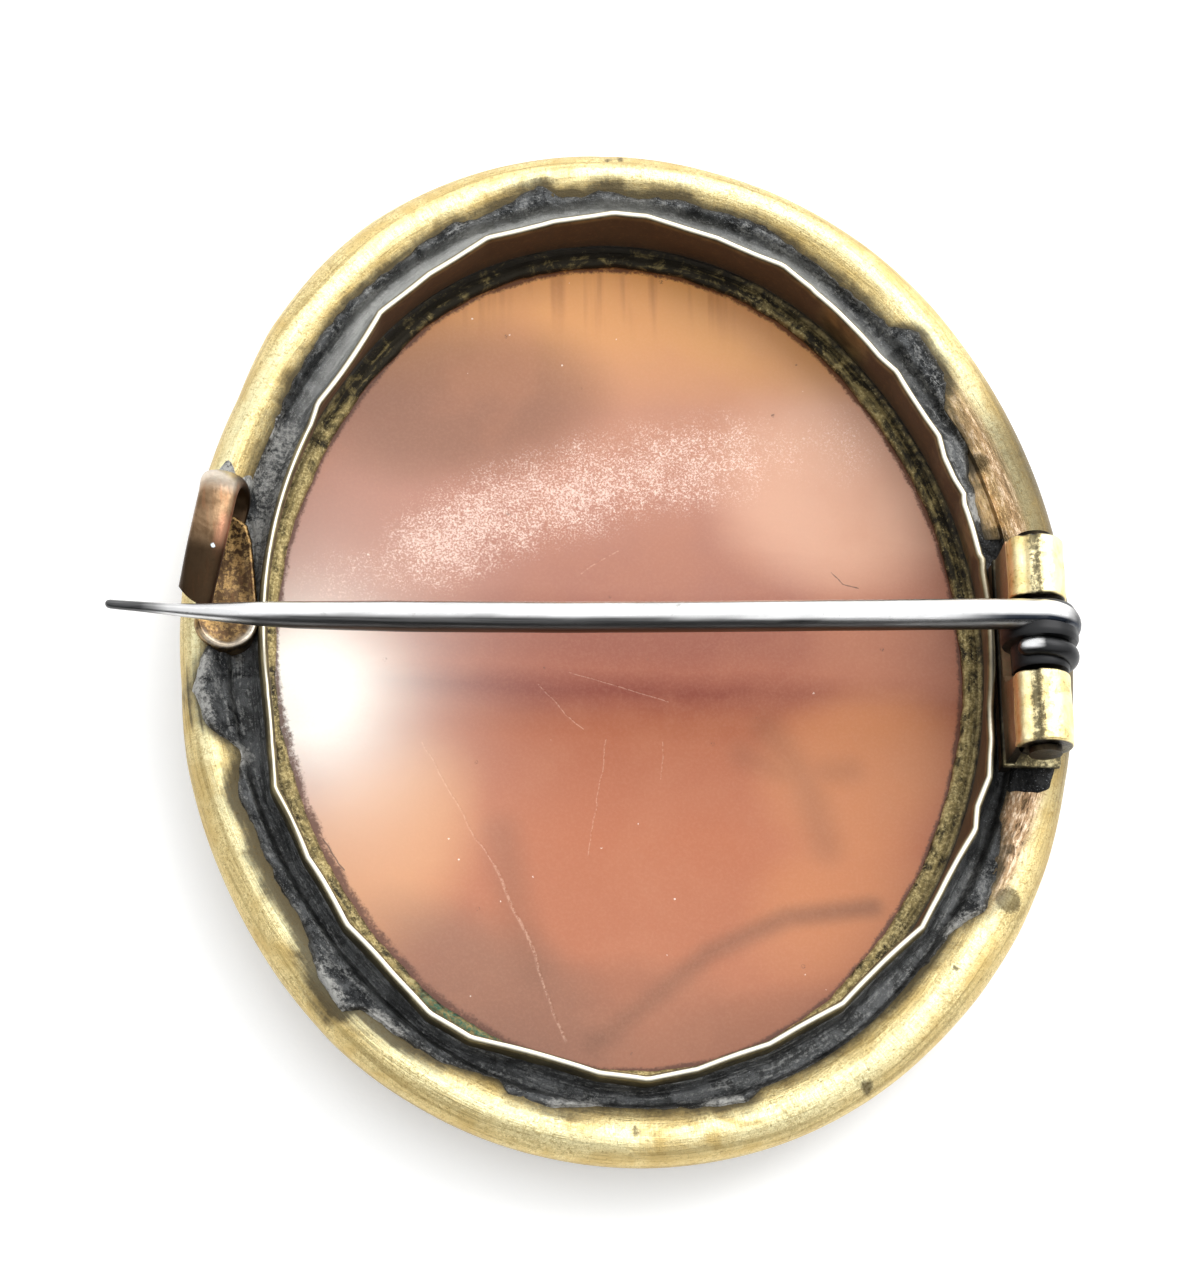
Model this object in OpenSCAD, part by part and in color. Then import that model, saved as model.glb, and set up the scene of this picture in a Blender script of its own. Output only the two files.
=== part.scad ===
// Oval cameo brooch, lying on its carved face with its back and its pin upwards.
// X runs along the pin towards the hinge, Y along the long axis of the oval,
// and Z = 0 is the table under the front lip. Millimetres.

/* [Oval frame] */
// Width of the frame, measured along the pin
frame_w = 34; // [32:0.5:37]
// Length of the frame, measured along the cameo
frame_l = 40; // [38.6:0.2:46]
// How much smaller than half the width the radius of the two end arcs is
end_tuck = 1.95; // [1.6:0.05:3]

/* [Rim] */
// Radius of the bead that runs round the outer edge
bead_r = 1; // [0.85:0.05:1.1]
// Height of the bead's centre above the table
bead_z = 3.4; // [3.2:0.1:4]
// Width of the rim, from its outer edge to the solder channel
band_w = 2.05; // [1.9:0.05:2.4]
// Drop from the bead's top to the rim's inner edge
band_drop = 0.4; // [0.2:0.05:0.5]
// Width of the solder channel round the bezel
channel_w = 0.85; // [0.7:0.05:1.3]
// Depth of the solder channel below the rim's inner edge
channel_d = 0.5; // [0.3:0.05:0.6]
// Radius of the half-round moulding on the front of the rim
moulding_r = 0.55; // [0.4:0.05:0.65]

/* [Bezel] */
// Thickness of the bezel's upright wall
wall_t = 0.3; // [0.25:0.05:0.5]
// Height of the wall's edge above the bottom of the solder channel
wall_rise = 1.55; // [1:0.05:1.7]
// Width of the ledge that holds the cameo in from behind
ledge_w = 0.8; // [0.6:0.05:1]
// Thickness of that ledge
ledge_t = 0.2; // [0.15:0.05:0.3]
// Radius of the rolled front lip
lip_r = 0.6; // [0.5:0.05:0.7]
// Width of the flat that the lip rests on
lip_flat = 0.5; // [0.3:0.05:0.6]
// Height above the table of the shelf that carries the cameo
shelf_z = 1.13; // [1.05:0.02:1.3]

/* [Cameo] */
// Thickness of the shell at its edge
shell_t = 0.75; // [0.65:0.05:1]
// Height by which the shell's front swells out at its middle
swell = 0.55; // [0.4:0.05:0.65]
// Depth of the hollow in the shell's back at its middle
hollow = 0.45; // [0.2:0.05:0.5]
// Clearance between the shell and its seat, above, below and beside it
seat_gap = 0.06; // [0.04:0.01:0.1]
// Height above the table at which the relief's highest petals end
relief_z = 0.1; // [0.05:0.01:0.2]
// Radius of the ring on which the rose's outer petals stand
rose_r = 3; // [2.6:0.1:3.4]

/* [Hinge] */
// Distance of the hinge axis inwards from the frame's outer edge
hinge_in = 1.9; // [1.75:0.05:2.1]
// Place of the hinge's middle along the Y axis
hinge_y = -0.57; // [-1:0.01:0.4]
// Height of the hinge axis above the top of the rim's bead
hinge_rise = 2.16; // [2.1:0.02:2.6]
// Outside diameter of the two hinge barrels
barrel_d = 2.16; // [1.9:0.02:2.3]
// Length of the barrel on the +Y side of the pin
barrel_n = 2.37; // [2:0.01:3.5]
// Length of the barrel on the -Y side of the pin
barrel_s = 2.78; // [2:0.01:3.5]
// Gap between the barrels, in which the pin's eye turns
knuckle_gap = 2.94; // [2.7:0.02:3.3]
// Clearance between the pin's eye and the barrels or the cradle under it
knuckle_clear = 0.1; // [0.06:0.01:0.15]
// Thickness of the hinge's foot plate above the rim's bead
foot_t = 0.25; // [0.15:0.05:0.3]
// Diameter of the hinge rivet
rivet_d = 0.8; // [0.6:0.02:0.9]
// Clearance all round the rivet in its bores
rivet_gap = 0.04; // [0.03:0.01:0.06]
// Diameter of the rivet's two heads
rivet_head_d = 1.25; // [1.1:0.05:1.5]
// Thickness of a rivet head
rivet_head_t = 0.22; // [0.15:0.01:0.3]

/* [Pin] */
// Diameter of the pin's wire
wire_d = 1.16; // [0.9:0.02:1.2]
// Diameter of the wire's end, which makes the eye's second turn
tail_d = 0.9; // [0.7:0.02:0.96]
// Length of the pin from the hinge axis to its point
pin_len = 34.6; // [33:0.2:37]
// Length over which the wire thins a little into the eye
neck_l = 2.6; // [2.2:0.1:4]
// Length of the tapered point
point_len = 10; // [8:0.2:12]
// Diameter of the rounded tip
tip_d = 0.34; // [0.25:0.01:0.45]
// Drop of the straight wire from the eye to where the point begins
pin_drop = 0.4; // [0.2:0.05:0.6]
// Sideways drift of the straight wire over the same length
pin_drift = 0.34; // [0.2:0.02:0.7]
// Sideways turn of the point against the straight wire, in degrees
point_turn = 2.75; // [1.5:0.05:4]
// How far the stem's turn lies inside the end of the eye
turn_in = 0.16; // [0.05:0.01:0.25]
// Depth of the eye's hub below its two turns
hub_under = 0.18; // [0.1:0.01:0.35]

/* [Catch] */
// Distance of the catch's middle inwards from the frame's outer edge
catch_in = 1.55; // [1.45:0.05:1.75]
// Width of the catch's strip
strip_w = 1.4; // [1.2:0.05:1.8]
// Thickness of the catch's strip
strip_t = 0.55; // [0.4:0.05:0.6]
// Radius of the hook's bend, to the middle of the strip
bend_r = 1.45; // [1.3:0.05:1.6]
// Length of the hook's arm, from the bend to its tip
arm_run = 3.5; // [3:0.1:4.5]
// How far the arm curves down towards its tip
arm_dip = 0.6; // [0.3:0.05:0.7]
// Slant of the hook's arm towards the outer edge, in degrees
hook_slant = 12; // [6:0.5:14]
// Slant of the foot the other way, in degrees
foot_slant = 5; // [3:0.5:6]
// Gap beside the pin at the hook's tip, so that the pin can lift past it
tip_gap = 0.08; // [0.05:0.01:0.2]
// Width of the catch's rounded foot
foot_w = 2.4; // [2.1:0.05:2.6]
// Length of the foot from the hook's bend to its rounded end's centre
foot_run = 3.6; // [3:0.05:4.2]
// Width of the raised edge round the foot
foot_edge = 0.28; // [0.2:0.02:0.35]

/* [Hidden] */
$fn = 96;

// Small overlap by which joined forms run into each other
bite = 0.2;

// The oval: two side arcs and two end arcs that share their tangents
half_w = frame_w/2;
half_l = frame_l/2;
end_r = half_w - end_tuck;
end_c = half_l - end_r;
side_r = (half_w*half_w + end_c*end_c - end_r*end_r)/(2*end_tuck);
side_c = side_r - half_w;
join_a = atan2(end_c, side_c);

// The oval's arcs: centre, radius, direction of the middle and half the sweep. Each is
// drawn as two halves. The side arcs lap over the end arcs, which lie a hair further in
lap_a = 0.3;
hair = 0.02;
ARC_AT = 0;
ARC_R = 1;
ARC_TO = 2;
ARC_HALF = 3;
OVAL = [
    [[-side_c, 0], side_r, 0, join_a + lap_a],
    [[0, end_c], end_r - hair, 90, 90 - join_a],
    [[side_c, 0], side_r, 180, join_a + lap_a],
    [[0, -end_c], end_r - hair, 270, 90 - join_a]
];

// Heights and insets of the rim's section
ridge_z = bead_z + bead_r;
band_z = ridge_z - band_drop;
channel_z = band_z - channel_d;
wall_z = channel_z + wall_rise;
wall_s = band_w + channel_w;
wall_in = wall_s + wall_t;
ledge_in = wall_in + ledge_w;
lip_s = ledge_in - lip_r;
corner = cos(45);

// Heights of the cameo on its shelf
shell_front = shelf_z + seat_gap;
shell_back = shell_front + shell_t;
ledge_under = shell_back + seat_gap;
ledge_z = ledge_under + ledge_t;
ground_z = shell_front - swell;
face_w = half_w - ledge_in;
face_l = half_l - ledge_in;

// The hinge axis and the pin's eye on it
hinge_x = half_w - hinge_in;
hinge_z = ridge_z + hinge_rise;
barrel_r = barrel_d/2;
bore_r = rivet_d/2 + rivet_gap;
wire_r = wire_d/2;
tail_r = tail_d/2;
eye_r = bore_r + wire_r;
eye_out = eye_r + wire_r;
hub_r = eye_out - hub_under;
hub_l = knuckle_gap - 2*knuckle_clear;
tail_y = tail_r - hub_l/2;
turn_y = hub_l/2 - wire_r - turn_in;
hinge_north = knuckle_gap/2 + barrel_n;
hinge_south = knuckle_gap/2 + barrel_s;
foot_top = ridge_z + foot_t;

// The second turn: from under the rivet, round the outside, to its end on top
tail_from = -120;
tail_sweep = 242;
tail_ring_r = eye_out - tail_r;

// The straight wire, its fall towards the catch and its drift to the side. The ring of
// the eye is a hair thinner than the wire that leaves it
ring_r = wire_r*0.97;
neck_r = wire_r*0.985;
shank_l = pin_len - point_len;
shank_fall = asin(pin_drop/shank_l);
shank_turn = asin(pin_drift/shank_l);
pin_top = hinge_z + eye_r;

// The point: share of its length and share of the wire's radius at each station
STATION = 0;
THICK = 1;
POINT = [
    [0.00, 1.00],
    [0.30, 0.86],
    [0.52, 0.69],
    [0.66, 0.48],
    [0.82, 0.34]
];

// The hook stands beside the pin, clear of its thickness
catch_x = -(half_w - catch_in);
catch_reach = hinge_x - catch_x - shank_l;
pin_at_catch = hinge_y + turn_y - pin_drift + catch_reach*sin(point_turn - shank_turn);
hook_tip_y = pin_at_catch + wire_r*POINT[2][THICK] + tip_gap + strip_w/2*sin(hook_slant);
bend_y = hook_tip_y + arm_run;
foot_z = ridge_z - strip_t/2 + bite;
bend_z = foot_z + bend_r;
arm_r = (arm_run*arm_run + arm_dip*arm_dip)/(2*arm_dip);
arm_a = 2*atan(arm_dip/arm_run);

// Ring of the oval: the section's x runs inwards from the outer edge, its y upwards
module oval_ring() {
    for (row = OVAL, side = [0, 1]) translate(row[ARC_AT]) rotate(row[ARC_TO])
        mirror([0, side, 0]) rotate_extrude(angle = row[ARC_HALF])
            translate([row[ARC_R], 0]) mirror([1, 0]) children();
}

// Sector of a circle about the origin, from angle a to angle b, less than 180 apart
module sector(r, a, b) {
    far = 2*r;
    intersection() {
        circle(r = r, $fn = 720);
        polygon([[0, 0], far*[cos(a), sin(a)], far*[cos((a + b)/2), sin((a + b)/2)],
                 far*[cos(b), sin(b)]]);
    }
}

// Filled oval, drawn in by inset from the frame's outer edge
module oval_area(inset) {
    for (row = OVAL) translate(row[ARC_AT])
        sector(row[ARC_R] - inset, row[ARC_TO] - row[ARC_HALF], row[ARC_TO] + row[ARC_HALF]);
}

// Slab whose under side swells to z = 0 at the middle and rises by sag at its edges
module crown(sag, across, along, depth) {
    across_r = (across*across + sag*sag)/(2*sag);
    along_r = (along*along + sag*sag)/(2*sag);
    sweep = 2*asin(across/across_r);
    translate([0, 0, across_r]) rotate([90, 0, 0]) rotate(270 - sweep/2)
        rotate_extrude(angle = sweep, $fn = 720) intersection() {
            translate([across_r - along_r, 0]) circle(r = along_r, $fn = 720);
            translate([across_r - sag - depth, -along]) square([sag + depth, 2*along]);
        }
}

// Points along an arc, from angle a to angle b
function arc(x, y, r, a, b, steps) =
    [for (i = [0:steps]) [x + r*cos(a + (b - a)*i/steps), y + r*sin(a + (b - a)*i/steps)]];

// Rim, solder channel, bezel wall, ledge and front lip in one section
module rim_section() {
    middle = [(bead_r + lip_s)/2, (bead_z + lip_r)/2] - [corner, corner]*(bead_r + lip_r)/2;
    polygon(concat(
        arc(bead_r, bead_z, bead_r, 225, 90, 12),
        [[band_w, band_z], [band_w, channel_z], [wall_s, channel_z]],
        arc(wall_s + wall_t/2, wall_z - wall_t/2, wall_t/2, 180, 0, 6),
        [[wall_in, ledge_z], [ledge_in, ledge_z], [ledge_in, ledge_under],
         [wall_in, ledge_under], [wall_in, shelf_z], [ledge_in, shelf_z]],
        arc(lip_s, lip_r, lip_r, 0, -60, 5),
        [[lip_s + lip_flat/2, 0], [lip_s - lip_flat/2, 0]],
        arc(lip_s, lip_r, lip_r, -120, -135, 2),
        arc(middle[0], middle[1], moulding_r, -45, -225, 10)
    ));
}

// Places its children on the hinge axis, with their z along it
module on_hinge() {
    translate([hinge_x, hinge_y, hinge_z]) rotate([90, 0, 0]) children();
}

// Round bar on the hinge axis, between two places measured along Y from the hinge's middle
module hinge_bar(r, from, to) {
    translate([0, to, 0]) on_hinge() cylinder(r = r, h = to - from);
}

// The two barrels on their riser, with a cradle cut round the pin's eye
module hinge_block() {
    difference() {
        union() {
            hinge_bar(barrel_r, knuckle_gap/2, hinge_north);
            hinge_bar(barrel_r, -hinge_south, -knuckle_gap/2);
            translate([hinge_x - barrel_r, hinge_y - hinge_south, channel_z - bite])
                cube([barrel_r + bore_r, hinge_south + hinge_north, hinge_z - channel_z + bite]);
            translate([hinge_x - barrel_r, hinge_y - hinge_south - foot_t, channel_z - bite])
                cube([barrel_r*1.7, hinge_south + hinge_north + foot_t,
                      foot_top - channel_z + bite]);
        }
        hinge_bar(eye_out + knuckle_clear, -knuckle_gap/2, knuckle_gap/2);
    }
}

// Bore through both barrels
module hinge_bore() {
    hinge_bar(bore_r, -hinge_south - bite, hinge_north + bite);
}

// Square strip of the catch, swept through an angle about the X axis
module strip_bend(r, angle) {
    rotate([90, 0, 90]) translate([0, 0, -strip_w/2]) rotate_extrude(angle = angle)
        translate([r - strip_t/2, 0]) square([strip_t, strip_w]);
}

// Hook that bends up from the foot, back over the pin and down to its tip
module catch_hook() {
    translate([0, 0, bend_z]) rotate([-90, 0, 0]) strip_bend(bend_r, 180);
    translate([0, 0, bend_z + bend_r - arm_r]) rotate([90, 0, 0]) strip_bend(arm_r, arm_a);
}

// Outline of the foot: straight sides from the hook's bend to a round end
module foot_outline(width) {
    translate([0, -foot_run]) circle(r = width/2);
    translate([-width/2, -foot_run]) square([width, foot_run]);
}

// Foot of the catch on its bed of solder, hollowed like a spoon
module catch_foot() {
    difference() {
        translate([0, 0, channel_z - bite])
            linear_extrude(foot_z + strip_t/2 - channel_z + bite) foot_outline(foot_w);
        translate([0, 0, foot_z]) linear_extrude(strip_t)
            foot_outline(foot_w - 2*foot_edge);
    }
}

// All soldered metal: the frame with its bezel, hinge barrels and catch
module frame() {
    color([0.78, 0.66, 0.42]) difference() {
        union() {
            oval_ring() rim_section();
            hinge_block();
            translate([catch_x, bend_y, 0]) {
                rotate(-hook_slant) catch_hook();
                rotate(foot_slant) catch_foot();
            }
        }
        hinge_bore();
    }
}

// Petal or bud: a low round cap with its root in the shell and its top near the table
module petal(r, top) {
    rise = ground_z + bite/2 - top;
    ball_r = (r*r + rise*rise)/(2*rise);
    intersection() {
        translate([0, 0, top + ball_r]) sphere(r = ball_r);
        translate([0, 0, top]) cylinder(r = r, h = shell_front - top);
    }
}

// Leaf: a pointed outline under a shallow dome, with its stalk end at the origin
module leaf(length, width, top) {
    edge_r = (length*length + width*width)/(4*width);
    rise = ground_z + bite/2 - top;
    dome_r = (length*length/4 + rise*rise)/(2*rise);
    intersection() {
        translate([0, 0, top]) linear_extrude(shell_front - top) intersection() {
            translate([length/2, edge_r - width/2]) circle(r = edge_r);
            translate([length/2, width/2 - edge_r]) circle(r = edge_r);
        }
        translate([length/2, 0, top + dome_r]) sphere(r = dome_r);
    }
}

// Leaves of the spray: place and turn on the face, length and width, as shares of
// half the face's width, and how far the leaf stays under the highest petals
LEAF_X = 0;
LEAF_Y = 1;
LEAF_TURN = 2;
LEAF_L = 3;
LEAF_W = 4;
LEAF_UNDER = 5;
LEAVES = [
    [0.34, 0.42, 40, 0.46, 0.20, 0.25],
    [-0.30, 0.44, 140, 0.42, 0.19, 0.25],
    [0.02, -0.42, -24, 0.52, 0.20, 0.30],
    [-0.05, -0.62, 214, 0.50, 0.20, 0.30],
    [0.36, -0.02, -8, 0.40, 0.18, 0.20]
];

// Carved spray: a rose of two rings of petals round a bud, leaves and a curved stem
module relief() {
    petals = 5;
    translate([0, rose_r*0.6, 0]) {
        petal(rose_r*0.34, relief_z);
        for (i = [0:petals - 1]) {
            rotate(i*360/petals) translate([rose_r*0.5, 0, 0])
                petal(rose_r*0.55, relief_z + 0.12);
            rotate((i + 0.5)*360/petals) translate([rose_r, 0, 0])
                petal(rose_r*0.8, relief_z + 0.28);
        }
    }
    for (row = LEAVES)
        translate([row[LEAF_X]*face_w, row[LEAF_Y]*face_w, 0]) rotate(row[LEAF_TURN])
            leaf(row[LEAF_L]*face_w, row[LEAF_W]*face_w, relief_z + row[LEAF_UNDER]);
    stem_r = 1.5*face_w;
    translate([stem_r, 0, ground_z + bite]) rotate(180) rotate_extrude(angle = 36)
        translate([stem_r, 0]) circle(r = 2*bite);
}

// Shell of the cameo, with its hollow back and the carved spray on its face
module cameo() {
    color([0.86, 0.60, 0.44]) difference() {
        union() {
            translate([0, 0, shell_front]) linear_extrude(shell_t)
                oval_area(wall_in + seat_gap);
            intersection() {
                linear_extrude(shell_front + shell_t/2) oval_area(ledge_in + seat_gap);
                union() {
                    translate([0, 0, ground_z]) crown(swell, face_w, face_l, shell_t);
                    relief();
                }
            }
        }
        translate([0, 0, shell_back - hollow]) crown(hollow, face_w, face_l, shell_t);
    }
}

// Pin: the eye round the rivet, the straight wire and its bent, tapered point
module pin_stem() {
    color([0.70, 0.69, 0.68]) difference() {
        union() {
            hinge_bar(hub_r, -hub_l/2, hub_l/2);
            translate([0, turn_y, 0]) on_hinge() rotate_extrude()
                translate([eye_r, 0]) circle(r = ring_r);
            translate([0, tail_y, 0]) on_hinge() rotate(tail_from) {
                rotate_extrude(angle = tail_sweep)
                    translate([tail_ring_r, 0]) circle(r = tail_r);
                rotate(tail_sweep) translate([tail_ring_r, 0, 0]) sphere(r = tail_r*1.02);
            }
            translate([hinge_x, hinge_y + turn_y, pin_top]) rotate([0, 0, shank_turn])
                rotate([0, -90 - shank_fall, 0]) shank();
        }
        hinge_bar(bore_r, -knuckle_gap/2, knuckle_gap/2);
    }
}

// Straight wire from the eye, with the tapered point turned at its end
module shank() {
    cylinder(r1 = neck_r, r2 = wire_r, h = neck_l);
    translate([0, 0, neck_l]) cylinder(r = wire_r, h = shank_l - neck_l);
    translate([0, 0, shank_l]) sphere(r = wire_r*1.01);
    translate([0, 0, shank_l]) rotate([-point_turn, 0, 0]) rotate_extrude() {
        polygon(concat(
            [for (row = POINT) [wire_r*row[THICK], point_len*row[STATION]]],
            [[tip_d/2, point_len - tip_d/2], [0, point_len - tip_d/2], [0, 0]]
        ));
        intersection() {
            translate([0, point_len - tip_d/2]) circle(r = tip_d/2);
            square([tip_d, point_len]);
        }
    }
}

// Rivet through the barrels and the eye, with a head past each end
module hinge_rivet() {
    color([0.62, 0.52, 0.36]) {
        hinge_bar(rivet_d/2, -hinge_south - 2*rivet_gap, hinge_north + 2*rivet_gap);
        hinge_bar(rivet_head_d/2, hinge_north + rivet_gap, hinge_north + rivet_gap + rivet_head_t);
        hinge_bar(rivet_head_d/2, -hinge_south - rivet_gap - rivet_head_t,
                  -hinge_south - rivet_gap);
    }
}

frame();
cameo();
pin_stem();
hinge_rivet();
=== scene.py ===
# %% [markdown]
# # An oval shell cameo brooch, seen from its back
# The brooch lies on its carved face. Its back shows a gilt brass frame, a band of dark solder
# round a thin bezel, the hollow back of the shell, a long steel pin, its tube hinge and its hook.
# The solids of the frame file give every place, so each piece below is modelled in millimetres
# in the same axes: X along the pin towards the hinge, Y along the oval, Z up from the table.

# %% Load the solids
import bpy
import bmesh
import math
from bmesh.types import BMEdge, BMFace, BMVert
from collections import namedtuple
from mathutils import Matrix, Vector, noise


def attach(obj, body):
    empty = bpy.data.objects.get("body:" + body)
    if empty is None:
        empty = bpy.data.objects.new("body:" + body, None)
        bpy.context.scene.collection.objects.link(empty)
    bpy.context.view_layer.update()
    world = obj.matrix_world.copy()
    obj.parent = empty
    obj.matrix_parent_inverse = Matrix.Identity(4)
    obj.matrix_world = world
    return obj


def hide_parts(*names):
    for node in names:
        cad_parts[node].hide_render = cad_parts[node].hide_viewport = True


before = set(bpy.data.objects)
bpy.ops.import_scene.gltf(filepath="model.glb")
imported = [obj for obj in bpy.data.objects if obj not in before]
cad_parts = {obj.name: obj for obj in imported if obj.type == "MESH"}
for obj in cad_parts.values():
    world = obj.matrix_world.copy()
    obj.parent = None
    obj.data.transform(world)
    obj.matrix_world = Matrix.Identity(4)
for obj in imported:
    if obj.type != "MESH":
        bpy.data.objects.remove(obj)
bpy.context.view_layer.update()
print("solids:", sorted(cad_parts))

# %% [markdown]
# ## Measures
# The frame is an oval of four arcs that share their tangents: two flat arcs at the sides and two
# rounder ones at the ends. The same few measures drew the solids, so the pieces fit them.

# %% Measures in millimetres
MM = 0.001
HALF_W, HALF_L, END_R = 17.0, 20.0, 15.05
END_C = HALF_L - END_R
SIDE_R = (HALF_W**2 + END_C**2 - END_R**2)/(2*(HALF_W - END_R))
SIDE_C = SIDE_R - HALF_W
JOIN = math.atan2(END_C, SIDE_C)
SIDE_ARC, END_ARC = 2*JOIN, math.pi - 2*JOIN
ROUND = 2*(SIDE_ARC*SIDE_R + END_ARC*END_R)
HINGE = Vector((15.1, -0.57, 6.56))
print(f"once round the oval: {ROUND:.1f} mm")


def along_oval(x, y):
    """Distance round the oval from the hinge, and inset from the outer edge, both in mm."""
    for way in (1, -1):
        turn = math.atan2(way*y - END_C, x)
        if JOIN <= turn <= math.pi - JOIN:
            far = SIDE_R*JOIN + (turn - JOIN)*END_R
            return (far if way > 0 else ROUND - far), END_R - math.hypot(x, way*y - END_C)
    if x > 0:
        turn = math.atan2(y, x + SIDE_C)
        return (turn*SIDE_R) % ROUND, SIDE_R - math.hypot(x + SIDE_C, y)
    turn = math.atan2(y, SIDE_C - x)
    return ROUND/2 - turn*SIDE_R, SIDE_R - math.hypot(x - SIDE_C, y)


def on_oval(far, inset):
    """The point of the oval at a distance round it and an inset, as x and y, and the way out."""
    far %= ROUND
    quarter = ROUND/4
    side = SIDE_R*JOIN
    part, rest = divmod(far, quarter)
    if part % 2:
        rest = quarter - rest
    if rest <= side:
        turn = rest/SIDE_R
        x, y = (SIDE_R - inset)*math.cos(turn) - SIDE_C, (SIDE_R - inset)*math.sin(turn)
    else:
        turn = JOIN + (rest - side)/END_R
        x, y = (END_R - inset)*math.cos(turn), (END_R - inset)*math.sin(turn) + END_C
    sx = -1 if part in (1, 2) else 1
    sy = -1 if part in (2, 3) else 1
    return Vector((sx*x, sy*y)), Vector((sx*math.cos(turn), sy*math.sin(turn)))


def stretch_of(rows, far):
    """The stretch of a closed table that holds a distance: its two values, length and share."""
    rows = [(rows[-1][0] - ROUND, rows[-1][1])] + rows + [(rows[0][0] + ROUND, rows[0][1])]
    for (a, va), (b, vb) in zip(rows, rows[1:]):
        if far <= b:
            return va, vb, b - a, (far - a)/(b - a)


def between(rows, far):
    """Straight-line value of a table of (distance, value) rows that closes round the oval."""
    before, after, _, share = stretch_of(rows, far)
    return before + (after - before)*share


def smooth(low, high, value):
    """Soft step from 0 to 1 between two values."""
    share = min(max((value - low)/(high - low), 0.0), 1.0)
    return share*share*(3 - 2*share)


def over(far, start, full, fade, end):
    """1 on a stretch round the oval, with a soft start and a soft end."""
    return smooth(start, full, far)*smooth(end, fade, far)


def grit(x, y, z, size, seed=0):
    """Smooth random value from about -1 to 1, with features about size mm across."""
    return noise.noise(Vector((x/size + seed*17.3, y/size - seed*9.1, z/size + seed*5.7)))


# %% [markdown]
# ## Camera
# The photograph looks down on the brooch from about 20 degrees off the vertical, and the brooch
# is turned a little in the frame. The camera stands 200 mm away with a long lens, and its shift
# only puts the brooch where the picture has it.

# %% Camera
TILT, AROUND, TWIST = map(math.radians, (20.53, -19.98, -19.643))
DISTANCE, AIM = 0.2, Vector((0, 0, 0.001))
PICTURE_H, FOCAL_PX, SHIFT_X_PX, SHIFT_Y_PX = 1277, 5290.26, -17.72, 29.875
back = Vector((math.sin(AROUND)*math.sin(TILT), -math.cos(AROUND)*math.sin(TILT), math.cos(TILT)))
level = Vector((math.cos(AROUND), math.sin(AROUND), 0))
rise = back.cross(level)
right = level*math.cos(TWIST) - rise*math.sin(TWIST)
above = level*math.sin(TWIST) + rise*math.cos(TWIST)


def add(name, data):
    """Puts an object that shows this data in the scene."""
    made = bpy.data.objects.new(name, data)
    bpy.context.scene.collection.objects.link(made)
    return made


eye = bpy.data.cameras.new("studio_camera")
camera = add("studio_camera", eye)
bpy.context.scene.camera = camera
facing = Matrix((right, above, back)).transposed().to_4x4()
camera.matrix_world = Matrix.Translation(back*DISTANCE + AIM) @ facing
eye.sensor_width = 36
eye.lens = FOCAL_PX/PICTURE_H*36
eye.shift_x, eye.shift_y = SHIFT_X_PX/PICTURE_H, SHIFT_Y_PX/PICTURE_H
eye.clip_start, eye.clip_end = 0.01, 20
print(f"lens {eye.lens:.0f} mm")

# %% [markdown]
# ## Light
# The brooch lies on thin white paper over a light table, in a bright white room, so the paper
# burns out to white and the shadow is faint. Only the side that the camera stands on is dark,
# low down, and polished metal mirrors that as its dark lines. A soft lamp at the upper right
# gives the shadow its direction and the shell its sheen.

# %% Light
world = bpy.data.worlds.new("room")
bpy.context.scene.world = world
world.use_nodes = True
room = world.node_tree
way = room.nodes.new("ShaderNodeTexCoord")
lean = room.nodes.new("ShaderNodeVectorMath")
lean.operation = "DOT_PRODUCT"
lean.inputs[1].default_value = (0.12, 0.55, 1.0)
room.links.new(way.outputs["Generated"], lean.inputs[0])
fade = room.nodes.new("ShaderNodeMapRange")
fade.interpolation_type = "SMOOTHSTEP"
for index, setting in enumerate((-0.05, 0.50, 0.05, 1.38), start=1):
    fade.inputs[index].default_value = setting
room.links.new(lean.outputs["Value"], fade.inputs[0])
room.links.new(fade.outputs[0], room.nodes["Background"].inputs["Strength"])
room.nodes["Background"].inputs["Color"].default_value = (0.97, 0.985, 1.0, 1)

WINDOW_AT = (0.28, 0.32, 0.45)
light = bpy.data.lights.new("window", "AREA")
light.shape, light.size, light.energy, light.color = "SQUARE", 0.5, 2.8, (1.0, 0.99, 0.97)
window = add("window", light)
facing = Vector(WINDOW_AT).to_track_quat("Z", "Y").to_matrix().to_4x4()
window.matrix_world = Matrix.Translation(WINDOW_AT) @ facing
bpy.context.scene.view_settings.view_transform = "Standard"
print(f"one lamp of {light.energy:.1f} W and a bright room")

# %% [markdown]
# ## Paper
# A plain sheet reaches far past the picture, lit a little from below by the light table. It is
# part of the stage.

# %% Paper
bm = bmesh.new()
bmesh.ops.create_grid(bm, x_segments=1, y_segments=1, size=0.9)
paper_mesh = bpy.data.meshes.new("paper")
bm.to_mesh(paper_mesh)
bm.free()
paper = add("paper", paper_mesh)
print("paper laid at z = 0")

# %% [markdown]
# ## Shader sums
# A finish is a tree of nodes. Written as sums it stays readable, so a Value wraps one socket
# and turns +, - and * into Math nodes. A Finish makes every other node with one method:
# its type, its settings, and the values or links of its sockets.

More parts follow.
